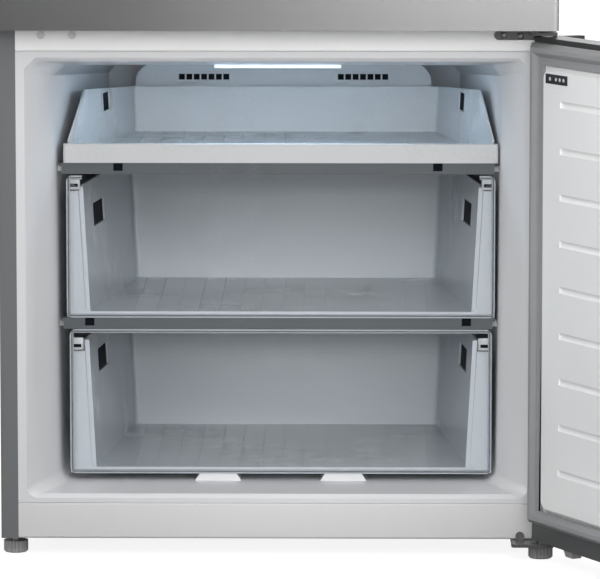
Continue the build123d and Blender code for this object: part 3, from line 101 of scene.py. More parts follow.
# ------------------------------------------------------------------ settings
class FinishSettings(bpy.types.PropertyGroup):
    """The colours of the refrigerator's materials."""

    steel: colour_setting("Door steel", "Colour of the brushed door fronts", (0.36, 0.36, 0.365))
    cabinet: colour_setting("Cabinet", "Colour of the painted side panels", (0.140, 0.144, 0.148))
    frame: colour_setting("Front frame", "Colour of the painted rails round the openings", (0.71, 0.71, 0.71))
    liner: colour_setting("Liner", "Colour of the moulded liners", (0.68, 0.685, 0.70))
    drawer: colour_setting("Drawers", "Colour of the freezer's drawers", (0.56, 0.605, 0.65))
    door_liner: colour_setting("Door liner", "Colour of the doors' inner linings", (0.90, 0.90, 0.90))
    gasket: colour_setting("Gasket", "Colour of the door seals", (0.285, 0.290, 0.295))
    cap: colour_setting("Door caps", "Colour of the caps above and below each door", (0.068, 0.070, 0.072))
    # The dividers' dark colour is partly their smoked plastic and partly painted shade for the shadow under
    # the tray and drawer above.
    divider: colour_setting(
        "Dividers", "Colour of the two shelves between the freezer's drawers", (0.092, 0.104, 0.113))
    # Painted shade: the colour of the dark plates that stand for the unlit space behind slots, notches and
    # vents.
    shadow: colour_setting(
        "Openings", "Colour of the dark screens behind slots and vents", (0.003, 0.005, 0.008))
    cold_light: colour_setting("Freezer light", "Colour of the freezer's lamp", (0.56, 0.79, 1.0))


class FittingSettings(bpy.types.PropertyGroup):
    """Sizes of the small fittings."""

    screw_radius: length_setting("Screw head", "Radius of a screw's head", 0.0042, 0.001)
    plug_radius: length_setting("Plug", "Radius of the plugs in the unused hinge holes", 0.0052, 0.001)
    label_width: length_setting(
        "Label width", "Width of the dark plate on the freezer door's liner", 0.054, 0.01)
    label_height: length_setting(
        "Label height", "Height of the dark plate on the freezer door's liner", 0.012, 0.005)
    bezel_border: length_setting("Vent bezel", "Width of the bezel round each air vent", 0.0022, 0.001)


class StudioSettings(bpy.types.PropertyGroup):
    """Camera and light."""

    distance: length_setting("Camera distance", "From the camera to the cabinet's front", 5.996, 1)
    lens: number_setting("Lens", "Focal length", 287.95, 20)
    fill: number_setting("Fill light", "Strength of the light from all round", 0.58)
    boards: number_setting("Boards", "Strength of the white boards that shiny parts mirror", 4.2)
    key: number_setting("Key light", "Strength of the soft light from the front right", 0.80)


# ------------------------------------------------------------------ shader sums
class Value:
    """A shader output that takes part in sums."""

    def __init__(self, finish, socket):
        self.finish, self.socket = finish, socket

    def sum(self, operation, *others):
        """The output of a Math node that takes these values."""
        return self.finish.node("ShaderNodeMath", {"operation": operation}, dict(enumerate(others)))

    def __add__(self, other):
        return self.sum("ADD", self, other)

    def __radd__(self, other):
        return self.sum("ADD", other, self)

    def __sub__(self, other):
        return self.sum("SUBTRACT", self, other)

    def __rsub__(self, other):
        return self.sum("SUBTRACT", other, self)

    def __mul__(self, other):
        return self.sum("MULTIPLY", self, other)

    def __rmul__(self, other):
        return self.sum("MULTIPLY", other, self)

    def clamp(self):
        """This value, kept from 0 to 1."""
        return self.sum("MINIMUM", self.sum("MAXIMUM", self, 0.0), 1.0)


class Finish:
    """A material on one Principled shader, with constants on its sockets."""

    def __init__(self, name, colour, roughness, **constants):
        self.material = bpy.data.materials.new(name)
        self.material.use_nodes = True
        self.tree = self.material.node_tree
        self.shader = self.tree.nodes["Principled BSDF"]
        self.shader.inputs["Base Color"].default_value = (*colour, 1.0)
        self.shader.inputs["Roughness"].default_value = roughness
        for key, value in constants.items():
            self.shader.inputs[key.replace("_", " ")].default_value = value

    def node(self, kind, settings=None, inputs=None, output=0):
        """One node of any type: its settings come first, then its sockets' values or links."""
        made = self.tree.nodes.new(kind)
        for key, value in (settings or {}).items():
            setattr(made, key, value)
        for key, value in (inputs or {}).items():
            if isinstance(value, Value):
                self.tree.links.new(value.socket, made.inputs[key])
            else:
                made.inputs[key].default_value = value
        return Value(self, made.outputs[output])

    def place(self, scale=(1, 1, 1), turn=(0, 0, 0), centre=(0, 0, 0)):
        """Object coordinates, moved, turned and scaled."""
        coordinates = self.node("ShaderNodeTexCoord", output="Object")
        return self.node("ShaderNodeMapping", inputs={
            "Vector": coordinates, "Scale": scale, "Rotation": turn, "Location": centre})

    def noise(self, vector, scale, detail=3.0, roughness=0.5):
        """Noise from 0 to 1."""
        return self.node("ShaderNodeTexNoise", inputs={
            "Vector": vector, "Scale": scale, "Detail": detail, "Roughness": roughness})

    def axis(self, vector, name):
        """One axis of a vector."""
        return self.node("ShaderNodeSeparateXYZ", inputs={0: vector}, output=name)

    def ramp(self, value, *stops):
        """A ramp of numbers, as a value."""
        made = self.tree.nodes.new("ShaderNodeValToRGB")
        ramp = made.color_ramp
        while len(ramp.elements) < len(stops):
            ramp.elements.new(0.5)
        for element, (position, level) in zip(ramp.elements, stops):
            element.position = position
            element.color = (level, level, level, 1)
        self.tree.links.new(value.socket, made.inputs[0])
        return Value(self, made.outputs[0])

    def mix(self, share, first, second):
        """A colour between two colours."""
        made = self.tree.nodes.new("ShaderNodeMix")
        made.data_type = "RGBA"
        self.tree.links.new(share.socket, made.inputs[0])
        for index, colour in ((6, first), (7, second)):
            if isinstance(colour, Value):
                self.tree.links.new(colour.socket, made.inputs[index])
            else:
                made.inputs[index].default_value = (*colour, 1.0)
        return Value(self, made.outputs[2])

    def feed(self, name, value):
        """Links a value to one of the shader's sockets."""
        self.tree.links.new(value.socket, self.shader.inputs[name])

    def bump(self, height, distance, strength=1.0):
        """Relief from a height value, in metres."""
        self.feed("Normal", self.node("ShaderNodeBump", inputs={
            "Height": height, "Distance": distance, "Strength": strength}))


def shade(colour, factor):
    """A colour made lighter or darker."""
    return tuple(min(1.0, c * factor) for c in colour)


# ------------------------------------------------------------------ finishes
def brushed_steel(name, colour, roughness=0.30, grain=0.12):
    """Steel brushed level: fine streaks along the door's width and faint clouds."""
    made = Finish(name, colour, roughness, Metallic=1.0)
    streaks = made.noise(made.place(scale=(9, 9, 2600)), 1.0, 4.0, 0.7)
    fine = made.noise(made.place(scale=(30, 30, 7000)), 1.0, 2.0, 0.6)
    clouds = made.noise(made.place(), 3.5, 3.0)
    both = streaks * 0.6 + fine * 0.4
    tones = both * 0.7 + clouds * 0.3
    made.feed("Base Color", made.mix(tones, shade(colour, 1 - grain), shade(colour, 1 + grain)))
    made.feed("Roughness", both * 0.16 + clouds * 0.08 + (roughness - 0.12))
    made.bump(both, 0.00004, 0.35)
    return made.material


def painted(name, colour, roughness=0.38, peel=0.00005):
    """Paint on sheet steel: a faint orange peel, darker and rougher in patches towards the floor."""
    made = Finish(name, colour, roughness)
    place = made.place()
    clouds = made.noise(place, 5.0, 4.0)
    peel_noise = made.noise(place, 900.0, 2.0)
    low = (1.0 - made.axis(place, "Z") * 6.0).clamp()
    # Below about 17 cm the paint turns darker and rougher in noisy patches.
    low_darkening = low * made.noise(place, 40.0, 5.0) * 0.35
    toned = made.mix(clouds, shade(colour, 0.975), shade(colour, 1.02))
    made.feed("Base Color", made.mix(low_darkening, toned, shade(colour, 0.82)))
    made.feed("Roughness", clouds * 0.10 + low_darkening * 0.3 + (roughness - 0.05))
    made.bump(peel_noise, peel, 0.5)
    return made.material


def moulded(name, colour, roughness=0.30, grain=0.00003, tone=0.02, size=700.0, **more):
    """Moulded plastic: a fine eroded grain and slight changes of tone and gloss."""
    made = Finish(name, colour, roughness, **more)
    place = made.place()
    clouds = made.noise(place, 7.0, 3.0)
    grains = made.noise(place, size, 3.0, 0.6)
    made.feed("Base Color", made.mix(clouds, shade(colour, 1 - tone), shade(colour, 1 + tone)))
    made.feed("Roughness", clouds * 0.10 + grains * 0.06 + (roughness - 0.08))
    made.bump(grains, grain, 0.6)
    return made.material


def zinc(name, colour):
    """Galvanised steel: the crystals of its zinc, each with its own tone."""
    made = Finish(name, colour, 0.42, Metallic=0.85)
    place = made.place()
    cells = made.node("ShaderNodeTexVoronoi", {"feature": "F1"}, {"Vector": place, "Scale": 95.0},
                      output="Color")
    tone = made.axis(cells, "X")
    streak = made.noise(made.place(scale=(60, 60, 4)), 1.0, 3.0)
    made.feed("Base Color", made.mix(tone * 0.7 + streak * 0.3, shade(colour, 0.82), shade(colour, 1.1)))
    made.feed("Roughness", tone * 0.16 + 0.34)
    made.bump(tone, 0.00002, 0.4)
    return made.material


def rubber(name, colour):
    """A soft vinyl seal: matt, with a faint bloom."""
    made = Finish(name, colour, 0.55)
    place = made.place()
    bloom = made.noise(place, 30.0, 4.0)
    pores = made.noise(place, 1500.0, 2.0)
    made.feed("Base Color", made.mix(bloom, shade(colour, 0.93), shade(colour, 1.05)))
    made.feed("Roughness", bloom * 0.12 + 0.48)
    made.bump(pores, 0.00003, 0.5)
    return made.material


def clear_plastic(name, colour, alpha, edge_alpha=0.0, low=None, high=None, rim=0.00625):
    """Clear plastic. Between two corners it has a rim that is less clear and carries painted highlight and
    shade: a bright line, a dark one and a bright one.
    """
    made = Finish(name, colour, 0.06, IOR=1.49, Specular_IOR_Level=0.55)
    place = made.place()
    smudge = made.noise(place, 22.0, 4.0)
    opacity = smudge * 0.015 + alpha
    if low is not None:
        middle = (low.x + high.x) / 2
        x = made.axis(place, "X") - middle
        z = made.axis(place, "Z")
        from_side = (high.x - middle) - x.sum("ABSOLUTE", x)
        above, below = z - low.z, high.z - z
        inset = from_side.sum("MINIMUM", from_side, above.sum("MINIMUM", above, below))
        share = (inset * (1 / rim)).clamp()
        # Painted highlight and shade: the rim's bright, dark and bright lines stand for light caught in the
        # rim, not for the plastic's colour.
        painted_rim_lines = made.ramp(share, (0.0, 1.0), (0.24, 1.0), (0.30, 0.0), (0.52, 0.0),
                          (0.58, 0.8), (0.72, 0.8), (0.80, 0.0))
        cover = made.ramp(share, (0.0, 1.0), (0.72, 0.7), (0.82, 0.0))
        made.feed("Base Color", made.mix(painted_rim_lines, shade(colour, 0.35), shade(colour, 1.2)))
        opacity = opacity + cover * (edge_alpha - alpha)
    made.feed("Alpha", opacity.clamp())
    made.feed("Roughness", smudge * 0.08 + 0.04)
    made.bump(made.noise(place, 9.0, 2.0), 0.0006, 0.06)
    return made.material


def tinted_glass(name, colour, alpha):
    """Shelf glass with a green cast."""
    made = Finish(name, colour, 0.03, IOR=1.52, Specular_IOR_Level=0.6)
    smudge = made.noise(made.place(), 12.0, 4.0)
    made.feed("Alpha", (smudge * 0.05 + alpha).clamp())
    made.feed("Roughness", smudge * 0.06 + 0.02)
    return made.material


def lamp_cover(name, colour, strength):
    """A lit diffuser: a row of soft spots behind an opal cover."""
    spots_per_metre = 25
    made = Finish(name, (0.9, 0.95, 1.0), 0.25, Emission_Strength=strength)
    x = made.axis(made.place(), "X")
    glow = made.node("ShaderNodeMath", {"operation": "SINE"}, {0: x * (2 * math.pi * spots_per_metre)})
    made.feed("Emission Color", made.mix(glow * 0.2 + 0.8, shade(colour, 0.5), colour))
    return made.material


def ridged_foot(name, colour):
    """Tough moulded plastic with scuffs near the floor."""
    made = Finish(name, colour, 0.5)
    place = made.place()
    scuff = made.noise(place, 260.0, 5.0, 0.65)
    low = (1.0 - made.axis(place, "Z") * 140.0).clamp()
    made.feed("Base Color", made.mix(scuff * 0.5 + low * 0.4, shade(colour, 0.85), shade(colour, 1.25)))
    made.feed("Roughness", scuff * 0.15 + 0.25)
    made.bump(scuff, 0.00008, 0.6)
    return made.material


def coil_metal(name, colour, roughness):
    """Drawn aluminium or lacquered tube, with a slight sheen along it."""
    made = Finish(name, colour, roughness, Metallic=0.9)
    grain = made.noise(made.place(scale=(8, 300, 300)), 1.0, 3.0)
    made.feed("Base Color", made.mix(grain, shade(colour, 0.86), shade(colour, 1.1)))
    made.feed("Roughness", grain * 0.15 + (roughness - 0.07))
    return made.material


def painted_shade_plate(name, colour):
    """Matt dark plastic, a painted shade that stands for the unlit space behind an opening."""
    return moulded(name, colour, 0.7, Specular_IOR_Level=0.08)


def foam(name, colour):
    """Rigid foam with its open skin."""
    made = Finish(name, colour, 0.9)
    place = made.place()
    cells = made.node("ShaderNodeTexVoronoi", {"feature": "F1"}, {"Vector": place, "Scale": 600.0})
    made.feed("Base Color", made.mix(cells, shade(colour, 0.8), colour))
    made.bump(cells, 0.0004, 0.5)
    return made.material


# ------------------------------------------------------------------ helpers for CAD nodes and pieces
def finish_nodes(material, names, rounding=0.0):
    """Gives CAD nodes a material, smooth curves and, where asked, softly rounded edges."""
    for name in names:
        node = NODES[name]
        node.data.materials.clear()
        node.data.materials.append(material)
        node.data.polygons.foreach_set("use_smooth", [True] * len(node.data.polygons))
        if "custom_normal" in node.data.attributes:
            node.data.attributes.remove(node.data.attributes["custom_normal"])
        weld = node.modifiers.new("joined", "WELD")
        weld.merge_threshold = WELD_DISTANCE
        if rounding:
            bevel = node.modifiers.new("rounded_edges", "BEVEL")
            bevel.width = rounding
            bevel.segments = 2
            bevel.limit_method = "ANGLE"
            bevel.angle_limit = CREASE
            bevel.harden_normals = True
        else:
            split = node.modifiers.new("sharp_edges", "EDGE_SPLIT")
            split.split_angle = CREASE


def clear_selection():
    """Nothing selected, as each modelling step starts."""
    bpy.ops.object.select_all(action="DESELECT")


def pick(kind, test):
    """Selects faces or edges of the mesh in edit mode by a test on each."""
    mesh = bmesh.from_edit_mesh(bpy.context.object.data)
    for item in mesh.faces[:] + mesh.edges[:] + mesh.verts[:]:
        item.select_set(False)
    for item in getattr(mesh, kind):
        if test(item):
            item.select_set(True)
    mesh.select_flush_mode()
    bmesh.update_edit_mesh(bpy.context.object.data)


def to_edit(mode="FACE"):
    """Edit mode with one kind of selection."""
    bpy.ops.object.mode_set(mode="EDIT")
    bpy.ops.mesh.select_mode(type=mode)


def settle(name, material, body):
    """Ends a piece: object mode, its place in its mesh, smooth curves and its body."""
    bpy.ops.object.mode_set(mode="OBJECT")
    piece = bpy.context.object
    bpy.ops.object.transform_apply(location=True, rotation=True, scale=True)
    bpy.ops.object.shade_smooth_by_angle(angle=CREASE)
    piece.name = name
    piece.data.name = name
    piece.data.materials.clear()
    piece.data.materials.append(material)
    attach(piece, body)
    return piece


def block(name, centre, size, material, body, turn=(0, 0, 0), rounding=0.0):
    """A box about a point, turned about its own centre, with rounded edges where asked."""
    clear_selection()
    bpy.ops.mesh.primitive_cube_add(size=1, location=centre, rotation=turn)
    bpy.context.object.scale = size
    bpy.ops.object.transform_apply(location=False, rotation=False, scale=True)
    to_edit("EDGE")
    bpy.ops.mesh.select_all(action="SELECT")
    if rounding:
        bpy.ops.mesh.bevel(offset=rounding, segments=3)
    return settle(name, material, body)


# ------------------------------------------------------------------ operators for the parts and fittings
class REFRIGERATOR_OT_cabinet(bpy.types.Operator):
    """Finish the cabinet's shell, rails, liners and back."""

    bl_idname = "refrigerator.cabinet"
    bl_label = "Cabinet"

    def execute(self, context):
        colours = context.scene.refrigerator_finish
        finish_nodes(painted("cabinet_paint", colours.cabinet, 0.42),
                     ["side_panel_left", "side_panel_right", "top_panel"])
        # The beam and the rail share one paint; the beam's colour is lifted as painted light and the rail's
        # lowered as painted shade, for light that falls off towards the floor.
        finish_nodes(painted("beam_paint", shade(colours.frame, 1.28), 0.36), ["mid_beam"])
        finish_nodes(painted("rail_paint", shade(colours.frame, 0.94), 0.36), ["bottom_rail"])
        finish_nodes(moulded("liner_plastic", colours.liner, 0.32), ["freezer_liner"])
        finish_nodes(moulded("fridge_liner_plastic", colours.liner, 0.30), ["fridge_liner"])
        finish_nodes(zinc("galvanised_sheet", (0.52, 0.53, 0.54)),
                     ["back_panel", "base_plate", "compressor_plate", "machine_cover"])
        finish_nodes(foam("foam_fill", (0.85, 0.78, 0.55)),
                     ["cabinet_foam", "freezer_door_foam", "fridge_door_foam"])
        return {"FINISHED"}


class REFRIGERATOR_OT_doors(bpy.types.Operator):
    """Finish both doors: steel skins, caps, liners and seals."""

    bl_idname = "refrigerator.doors"
    bl_label = "Doors"

    def execute(self, context):
        colours = context.scene.refrigerator_finish
        finish_nodes(brushed_steel("door_steel", colours.steel, 0.22),
                     ["freezer_door_skin", "fridge_door_skin"])
        finish_nodes(moulded("cap_plastic", colours.cap, 0.42, 0.00006, 0.06),
                     ["freezer_door_bottom_cap", "fridge_door_top_cap",
                      "fridge_door_bottom_cap", "top_hinge_cover"], 0.0006)
        grip = moulded("grip_plastic", shade(colours.cap, 0.4), 0.5, 0.00004, 0.06, Specular_IOR_Level=0.25)
        finish_nodes(grip, ["freezer_door_top_cap"], 0.0006)
        finish_nodes(moulded("door_lining", colours.door_liner, 0.30),
                     ["freezer_door_liner", "fridge_door_liner"])
        finish_nodes(rubber("seal_vinyl", colours.gasket),
                     ["freezer_door_gasket", "fridge_door_gasket"], 0.001)
        finish_nodes(moulded("bush_nylon", (0.50, 0.50, 0.49), 0.4),
                     ["freezer_door_bushes", "fridge_door_bushes"])
        return {"FINISHED"}


class REFRIGERATOR_OT_freezer(bpy.types.Operator):
    """Finish the freezer's drawers, dividers, vents, coil and lamp."""

    bl_idname = "refrigerator.freezer"
    bl_label = "Freezer interior"

    def execute(self, context):
        colours = context.scene.refrigerator_finish
        drawer = moulded("drawer_plastic", colours.drawer, 0.26, tone=0.015)
        finish_nodes(drawer, ["middle_drawer_box", "bottom_drawer_box"])
        finish_nodes(moulded("tray_plastic", (0.57, 0.58, 0.59), 0.28, tone=0.015), ["top_tray"])
        # Partly smoked plastic, partly painted shade for the shadow the dividers sit in.
        finish_nodes(moulded("divider_plastic", colours.divider, 0.26),
                     ["upper_divider", "lower_divider"], 0.0008)
        finish_nodes(moulded("evaporator_cover_plastic", shade(colours.liner, 0.92), 0.34),
                     ["evaporator_cover"])
        finish_nodes(coil_metal("coil_aluminium", (0.72, 0.73, 0.74), 0.35), ["evaporator"])
        finish_nodes(lamp_cover("freezer_lamp_cover", colours.cold_light, 1.1), ["freezer_lamp"], 0.0005)
        for name in ("middle_drawer_front", "bottom_drawer_front"):
            low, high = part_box(name)
            front = clear_plastic(f"clear_{name}", (0.46, 0.50, 0.54), 0.012, 0.75, low, high)
            finish_nodes(front, [name])
        return {"FINISHED"}


class REFRIGERATOR_OT_fridge(bpy.types.Operator):
    """Finish the fridge section: shelves, crispers, bins, duct cover, panel and lamp."""

    bl_idname = "refrigerator.fridge"
    bl_label = "Fridge interior"

    def execute(self, context):
        colours = context.scene.refrigerator_finish
        finish_nodes(moulded("shelf_trim", colours.liner, 0.28), ["shelf_frames", "air_duct_cover"])
        finish_nodes(tinted_glass("shelf_glass", (0.62, 0.74, 0.70), 0.35), ["glass_shelves"])
        clear = clear_plastic("clear_bins", (0.55, 0.60, 0.64), 0.30)
        finish_nodes(clear, ["left_crisper", "right_crisper",
                             "upper_door_bin", "middle_door_bin", "bottle_bin"])
        finish_nodes(moulded("panel_plastic", (0.05, 0.05, 0.055), 0.22), ["control_panel"], 0.001)
        finish_nodes(lamp_cover("fridge_lamp_cover", (1.0, 0.97, 0.92), 1.2), ["fridge_lamp"], 0.001)
        return {"FINISHED"}


class REFRIGERATOR_OT_machinery(bpy.types.Operator):
    """Finish hinges, feet, rollers, fans, compressor and condenser."""

    bl_idname = "refrigerator.machinery"
    bl_label = "Machinery"

    def execute(self, context):
        finish_nodes(painted("hinge_paint", (0.09, 0.09, 0.093), 0.2),
                     ["lower_hinge", "mid_hinge", "top_hinge"], 0.0005)
        finish_nodes(ridged_foot("foot_plastic", (0.32, 0.32, 0.323)),
                     ["left_foot", "right_foot"], 0.0004)
        finish_nodes(moulded("dark_plastic", (0.035, 0.035, 0.038), 0.4),
                     ["fan_motors", "evaporator_fan", "condenser_fan",
                      "left_roller", "right_roller", "drain_pan"])
        finish_nodes(painted("compressor_lacquer", (0.018, 0.018, 0.02), 0.28), ["compressor"])
        finish_nodes(coil_metal("condenser_lacquer", (0.02, 0.02, 0.022), 0.4), ["condenser"])
        return {"FINISHED"}


class REFRIGERATOR_OT_screws(bpy.types.Operator):
    """Add the screws of the hinges and of the rear cover, and the plugs of the unused hinge holes."""

    bl_idname = "refrigerator.screws"
    bl_label = "Screws and plugs"

    def execute(self, context):
        sizes = context.scene.refrigerator_fitting
        steel = coil_metal("screw_steel", (0.16, 0.16, 0.165), 0.28)
        radius = sizes.screw_radius
        head_edge, crown, slot_width, slot_depth = 0.0016, 0.0008, 0.0011, 0.0024
        clear_selection()
        bpy.ops.mesh.primitive_cylinder_add(
            vertices=28, radius=radius, depth=head_edge, location=(0, 0, head_edge / 2))
        to_edit()
        pick("faces", lambda f: f.normal.z > 0.9)
        bpy.ops.mesh.inset(thickness=radius * 0.18)
        bpy.ops.transform.translate(value=(0, 0, crown))
        bpy.ops.mesh.inset(thickness=radius * 0.22)
        bpy.ops.transform.translate(value=(0, 0, 0.0003))
        bpy.ops.object.mode_set(mode="OBJECT")
        head = context.object
        for width, reach in ((slot_width, radius * 1.1), (radius * 1.1, slot_width)):
            clear_selection()
            bpy.ops.mesh.primitive_cube_add(size=1, location=(0, 0, slot_depth))
            cutter = context.object
            cutter.scale = (width, reach, slot_depth)
            bpy.ops.object.transform_apply(location=True, rotation=False, scale=True)
            clear_selection()
            head.select_set(True)
            context.view_layer.objects.active = head
            cut = head.modifiers.new("recess", "BOOLEAN")
            cut.operation = "DIFFERENCE"
            cut.object = cutter
            bpy.ops.object.modifier_apply(modifier=cut.name)
            bpy.data.objects.remove(cutter)
        master = head.data.copy()
        bpy.data.objects.remove(head)
        to_front = Matrix.Rotation(QUARTER_TURN, 4, "X")
        to_back = Matrix.Rotation(-QUARTER_TURN, 4, "X")
        places = [("hinge_screw_1", (0.2835, -0.003, 0.6617), to_front),
                  ("hinge_screw_2", (0.3045, -0.003, 0.6605), to_front)]
        sunk = 0.0021
        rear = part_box("machine_cover")[1].y - sunk
        for i, x in enumerate((-0.31, -0.10, 0.10, 0.31)):
            for j, z in enumerate((0.036, 0.219)):
                places.append((f"cover_screw_{i}_{j}", (x, rear, z), to_back))
        for name, where, turn in places:
            piece = bpy.data.objects.new(name, master.copy())
            context.scene.collection.objects.link(piece)
            piece.data.transform(Matrix.Translation(Vector(where)) @ turn)
            clear_selection()
            piece.select_set(True)
            context.view_layer.objects.active = piece
            settle(name, steel, "cabinet")

        paint = painted("plug_paint", shade(context.scene.refrigerator_finish.frame, 0.93), 0.35)
        for i, x in enumerate((-0.2958, -0.2566)):
            clear_selection()
            bpy.ops.mesh.primitive_cylinder_add(
                vertices=32, radius=sizes.plug_radius, depth=0.001,
                location=(x, -0.0005, 0.6612), rotation=(QUARTER_TURN, 0, 0))
            to_edit()
            pick("faces", lambda f: f.normal.z > 0.9)
            bpy.ops.mesh.inset(thickness=0.0012)
            bpy.ops.transform.translate(value=(0, -0.0006, 0))
            bpy.ops.mesh.inset(thickness=0.0016)
            bpy.ops.transform.translate(value=(0, 0.0005, 0))
            settle(f"hole_plug_{i + 1}", paint, "cabinet")
        return {"FINISHED"}


class REFRIGERATOR_OT_vents(bpy.types.Operator):
    """Add a slim bezel round each of the two air vents, and a dark plate of painted shade behind its bars."""

    bl_idname = "refrigerator.vents"
    bl_label = "Vent bezels"

    def execute(self, context):
        border = context.scene.refrigerator_fitting.bezel_border
        plastic = moulded("bezel_plastic", shade(context.scene.refrigerator_finish.liner, 0.98), 0.3)
        dark = painted_shade_plate("vent_screen_plastic", context.scene.refrigerator_finish.shadow)
        across, width, height, middle, depth = 0.1075, 0.072, 0.0095, 0.570, 0.0016
        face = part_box("evaporator_cover")[0].y
        for i, x in enumerate((-across, across)):
            clear_selection()
            bpy.ops.mesh.primitive_plane_add(
                size=1, location=(x, face - depth, middle), rotation=(QUARTER_TURN, 0, 0))
            bpy.ops.object.transform_apply(location=False, rotation=True, scale=False)
            context.object.scale = (width + 2 * border, 1, height + 2 * border)
            bpy.ops.object.transform_apply(location=False, rotation=False, scale=True)
            to_edit()
            pick("faces", lambda f: True)
            bpy.ops.mesh.inset(thickness=border)
            bpy.ops.mesh.delete(type="FACE")
            pick("faces", lambda f: True)
            bpy.ops.mesh.extrude_region_move(TRANSFORM_OT_translate={"value": (0, depth, 0)})
            pick("faces", lambda f: True)
            bpy.ops.mesh.normals_make_consistent(inside=False)
            bpy.ops.object.mode_set(mode="OBJECT")
            bevel = context.object.modifiers.new("edge", "BEVEL")
            bevel.width = 0.0005
            bevel.segments = 2
            bpy.ops.object.modifier_apply(modifier=bevel.name)
            settle(f"vent_bezel_{i + 1}", plastic, "cabinet")
            # The dark plate behind the bars is painted shade for the unlit hollow of the cover.
            block(f"vent_screen_{i + 1}", (x, face + 0.0031, middle), (0.074, 0.0008, 0.013),
                  dark, "cabinet")
        return {"FINISHED"}


class REFRIGERATOR_OT_openings(bpy.types.Operator):
    """Close the slots of the tray and drawers and the notches of the dividers with dark plates of painted
    shade.
    """

    bl_idname = "refrigerator.openings"
    bl_label = "Slot screens"

    def execute(self, context):
        dark = painted_shade_plate("slot_screen_plastic", context.scene.refrigerator_finish.shadow)
        sheet, gap = 0.0008, 0.0006
        # Each slot plate is painted shade for the unlit gap between a container's wall and the liner.
        for box in CONTAINERS:
            narrowing, lean = (box.near - box.far) / CONTAINER_DEPTH, box.draft / (box.high - box.low)
            outside = box.near + CONTAINER_WALL + gap
            half = outside - narrowing * (box.slot_y - CONTAINER_FRONT) - lean * (box.high - box.slot_z)
            for side, word in SIDES:
                centre = (CONTAINER_SHIFT + side * half, box.slot_y, box.slot_z)
                turn = (0, side * math.atan(lean), side * math.atan(narrowing))
                block(f"{box.name}_slot_screen_{word}", centre, (sheet, box.slot_length, box.slot_height),
                      dark, box.body, turn)
        # Each notch plate is painted shade for the dark hollow of a divider's notch.
        notch_size, notch_rise = (0.0115, 0.0055, 0.0092), 0.0047
        for label, across, low in (("upper", 0.203, 0.4843), ("lower", 0.240, 0.2861)):
            for side, word in SIDES:
                block(f"{label}_notch_screen_{word}", (side * across, 0.0680, low + notch_rise),
                      notch_size, dark, "cabinet")
        return {"FINISHED"}


class REFRIGERATOR_OT_clips(bpy.types.Operator):
    """Add the clips that hold each clear drawer front at its upper corners."""

    bl_idname = "refrigerator.clips"
    bl_label = "Drawer clips"

    def execute(self, context):
        pale = moulded("clip_plastic", (0.52, 0.54, 0.56), 0.18)
        dark = painted_shade_plate("clip_slot_plastic", context.scene.refrigerator_finish.shadow)
        from_corner, clip_y, slot_y = 0.0105, 0.0690, 0.0664
        for label, half, low in (("middle_drawer", 0.2725, 0.4592), ("bottom_drawer", 0.269, 0.2536)):
            for side, word in SIDES:
                x = CONTAINER_SHIFT + side * (half - from_corner)
                block(f"{label}_clip_{word}", (x, clip_y, low + 0.0082), (0.0136, 0.0052, 0.0160),
                      pale, label, rounding=0.0012)
                # The dark plate on each clip is painted shade for the clip's slot.
                block(f"{label}_clip_slot_{word}", (x + side * 0.0008, slot_y, low + 0.0060),
                      (0.0096, 0.0008, 0.0042), dark, label, rounding=0.0003)
        return {"FINISHED"}


class REFRIGERATOR_OT_label(bpy.types.Operator):
    """Add the small dark plate on the freezer door's liner, with four pips and no words."""

    bl_idname = "refrigerator.label"
    bl_label = "Door plate"

    def execute(self, context):
        sizes = context.scene.refrigerator_fitting
        width, height = sizes.label_width, sizes.label_height
        dark = moulded("plate_black", (0.012, 0.012, 0.013), 0.25)
        pale = moulded("plate_pips", (0.55, 0.56, 0.57), 0.3)
        corner, sheet, frame_width, lift = 0.307, 0.0009, 0.0007, 0.0003
        centre = Vector((corner - width / 2, -0.0046, 0.6127))
        turn = Matrix.Translation(HINGE) @ Matrix.Rotation(DOOR_ANGLE, 4, "Z") @ Matrix.Translation(-HINGE)
        clear_selection()
        bpy.ops.mesh.primitive_cube_add(size=1, location=centre)
        context.object.scale = (width, sheet, height)
        bpy.ops.object.transform_apply(location=True, rotation=False, scale=True)
        to_edit()
        pick("faces", lambda f: f.normal.y > 0.9)
        bpy.ops.mesh.inset(thickness=frame_width)
        bpy.ops.transform.translate(value=(0, -0.0002, 0))
        bpy.ops.object.mode_set(mode="OBJECT")
        context.object.data.transform(turn)
        settle("door_plate", dark, "freezer_door")
        face = centre.y + lift
        flatten = (Matrix.Translation((0, face, 0)) @ Matrix.Scale(0.35, 4, (0, 1, 0))
                   @ Matrix.Translation((0, -face, 0)))
        for i, along in enumerate((0.20, 0.48, 0.66, 0.84)):
            clear_selection()
            x = corner - width * along
            bpy.ops.mesh.primitive_uv_sphere_add(
                segments=20, ring_count=10, radius=height * 0.2, location=(x, face, centre.z))
            to_edit()
            bpy.ops.mesh.select_all(action="SELECT")
            bpy.ops.mesh.bisect(plane_co=(x, face, centre.z), plane_no=(0, 1, 0),
                                clear_inner=True, use_fill=True)
            bpy.ops.object.mode_set(mode="OBJECT")
            bpy.ops.object.transform_apply(location=True, rotation=True, scale=True)
            context.object.data.transform(turn @ flatten)
            settle(f"door_plate_pip_{i + 1}", pale, "freezer_door")
        return {"FINISHED"}


# ------------------------------------------------------------------ studio
def hang(name, data, place, direction):
    """Puts a light or camera in the scene, at a place and looking along a direction."""
    made = bpy.data.objects.new(name, data)
    bpy.context.scene.collection.objects.link(made)
    made.location = place
    made.rotation_mode = "QUATERNION"
    made.rotation_quaternion = Vector(direction).to_track_quat("-Z", "Y")
    return made


def sun(name, direction, strength, spread):
    """A soft distant light that shines along a direction."""
    data = bpy.data.lights.new(name, "SUN")
    data.energy = strength
    data.angle = math.radians(spread)
    return hang(name, data, (0, 0, 0), direction)


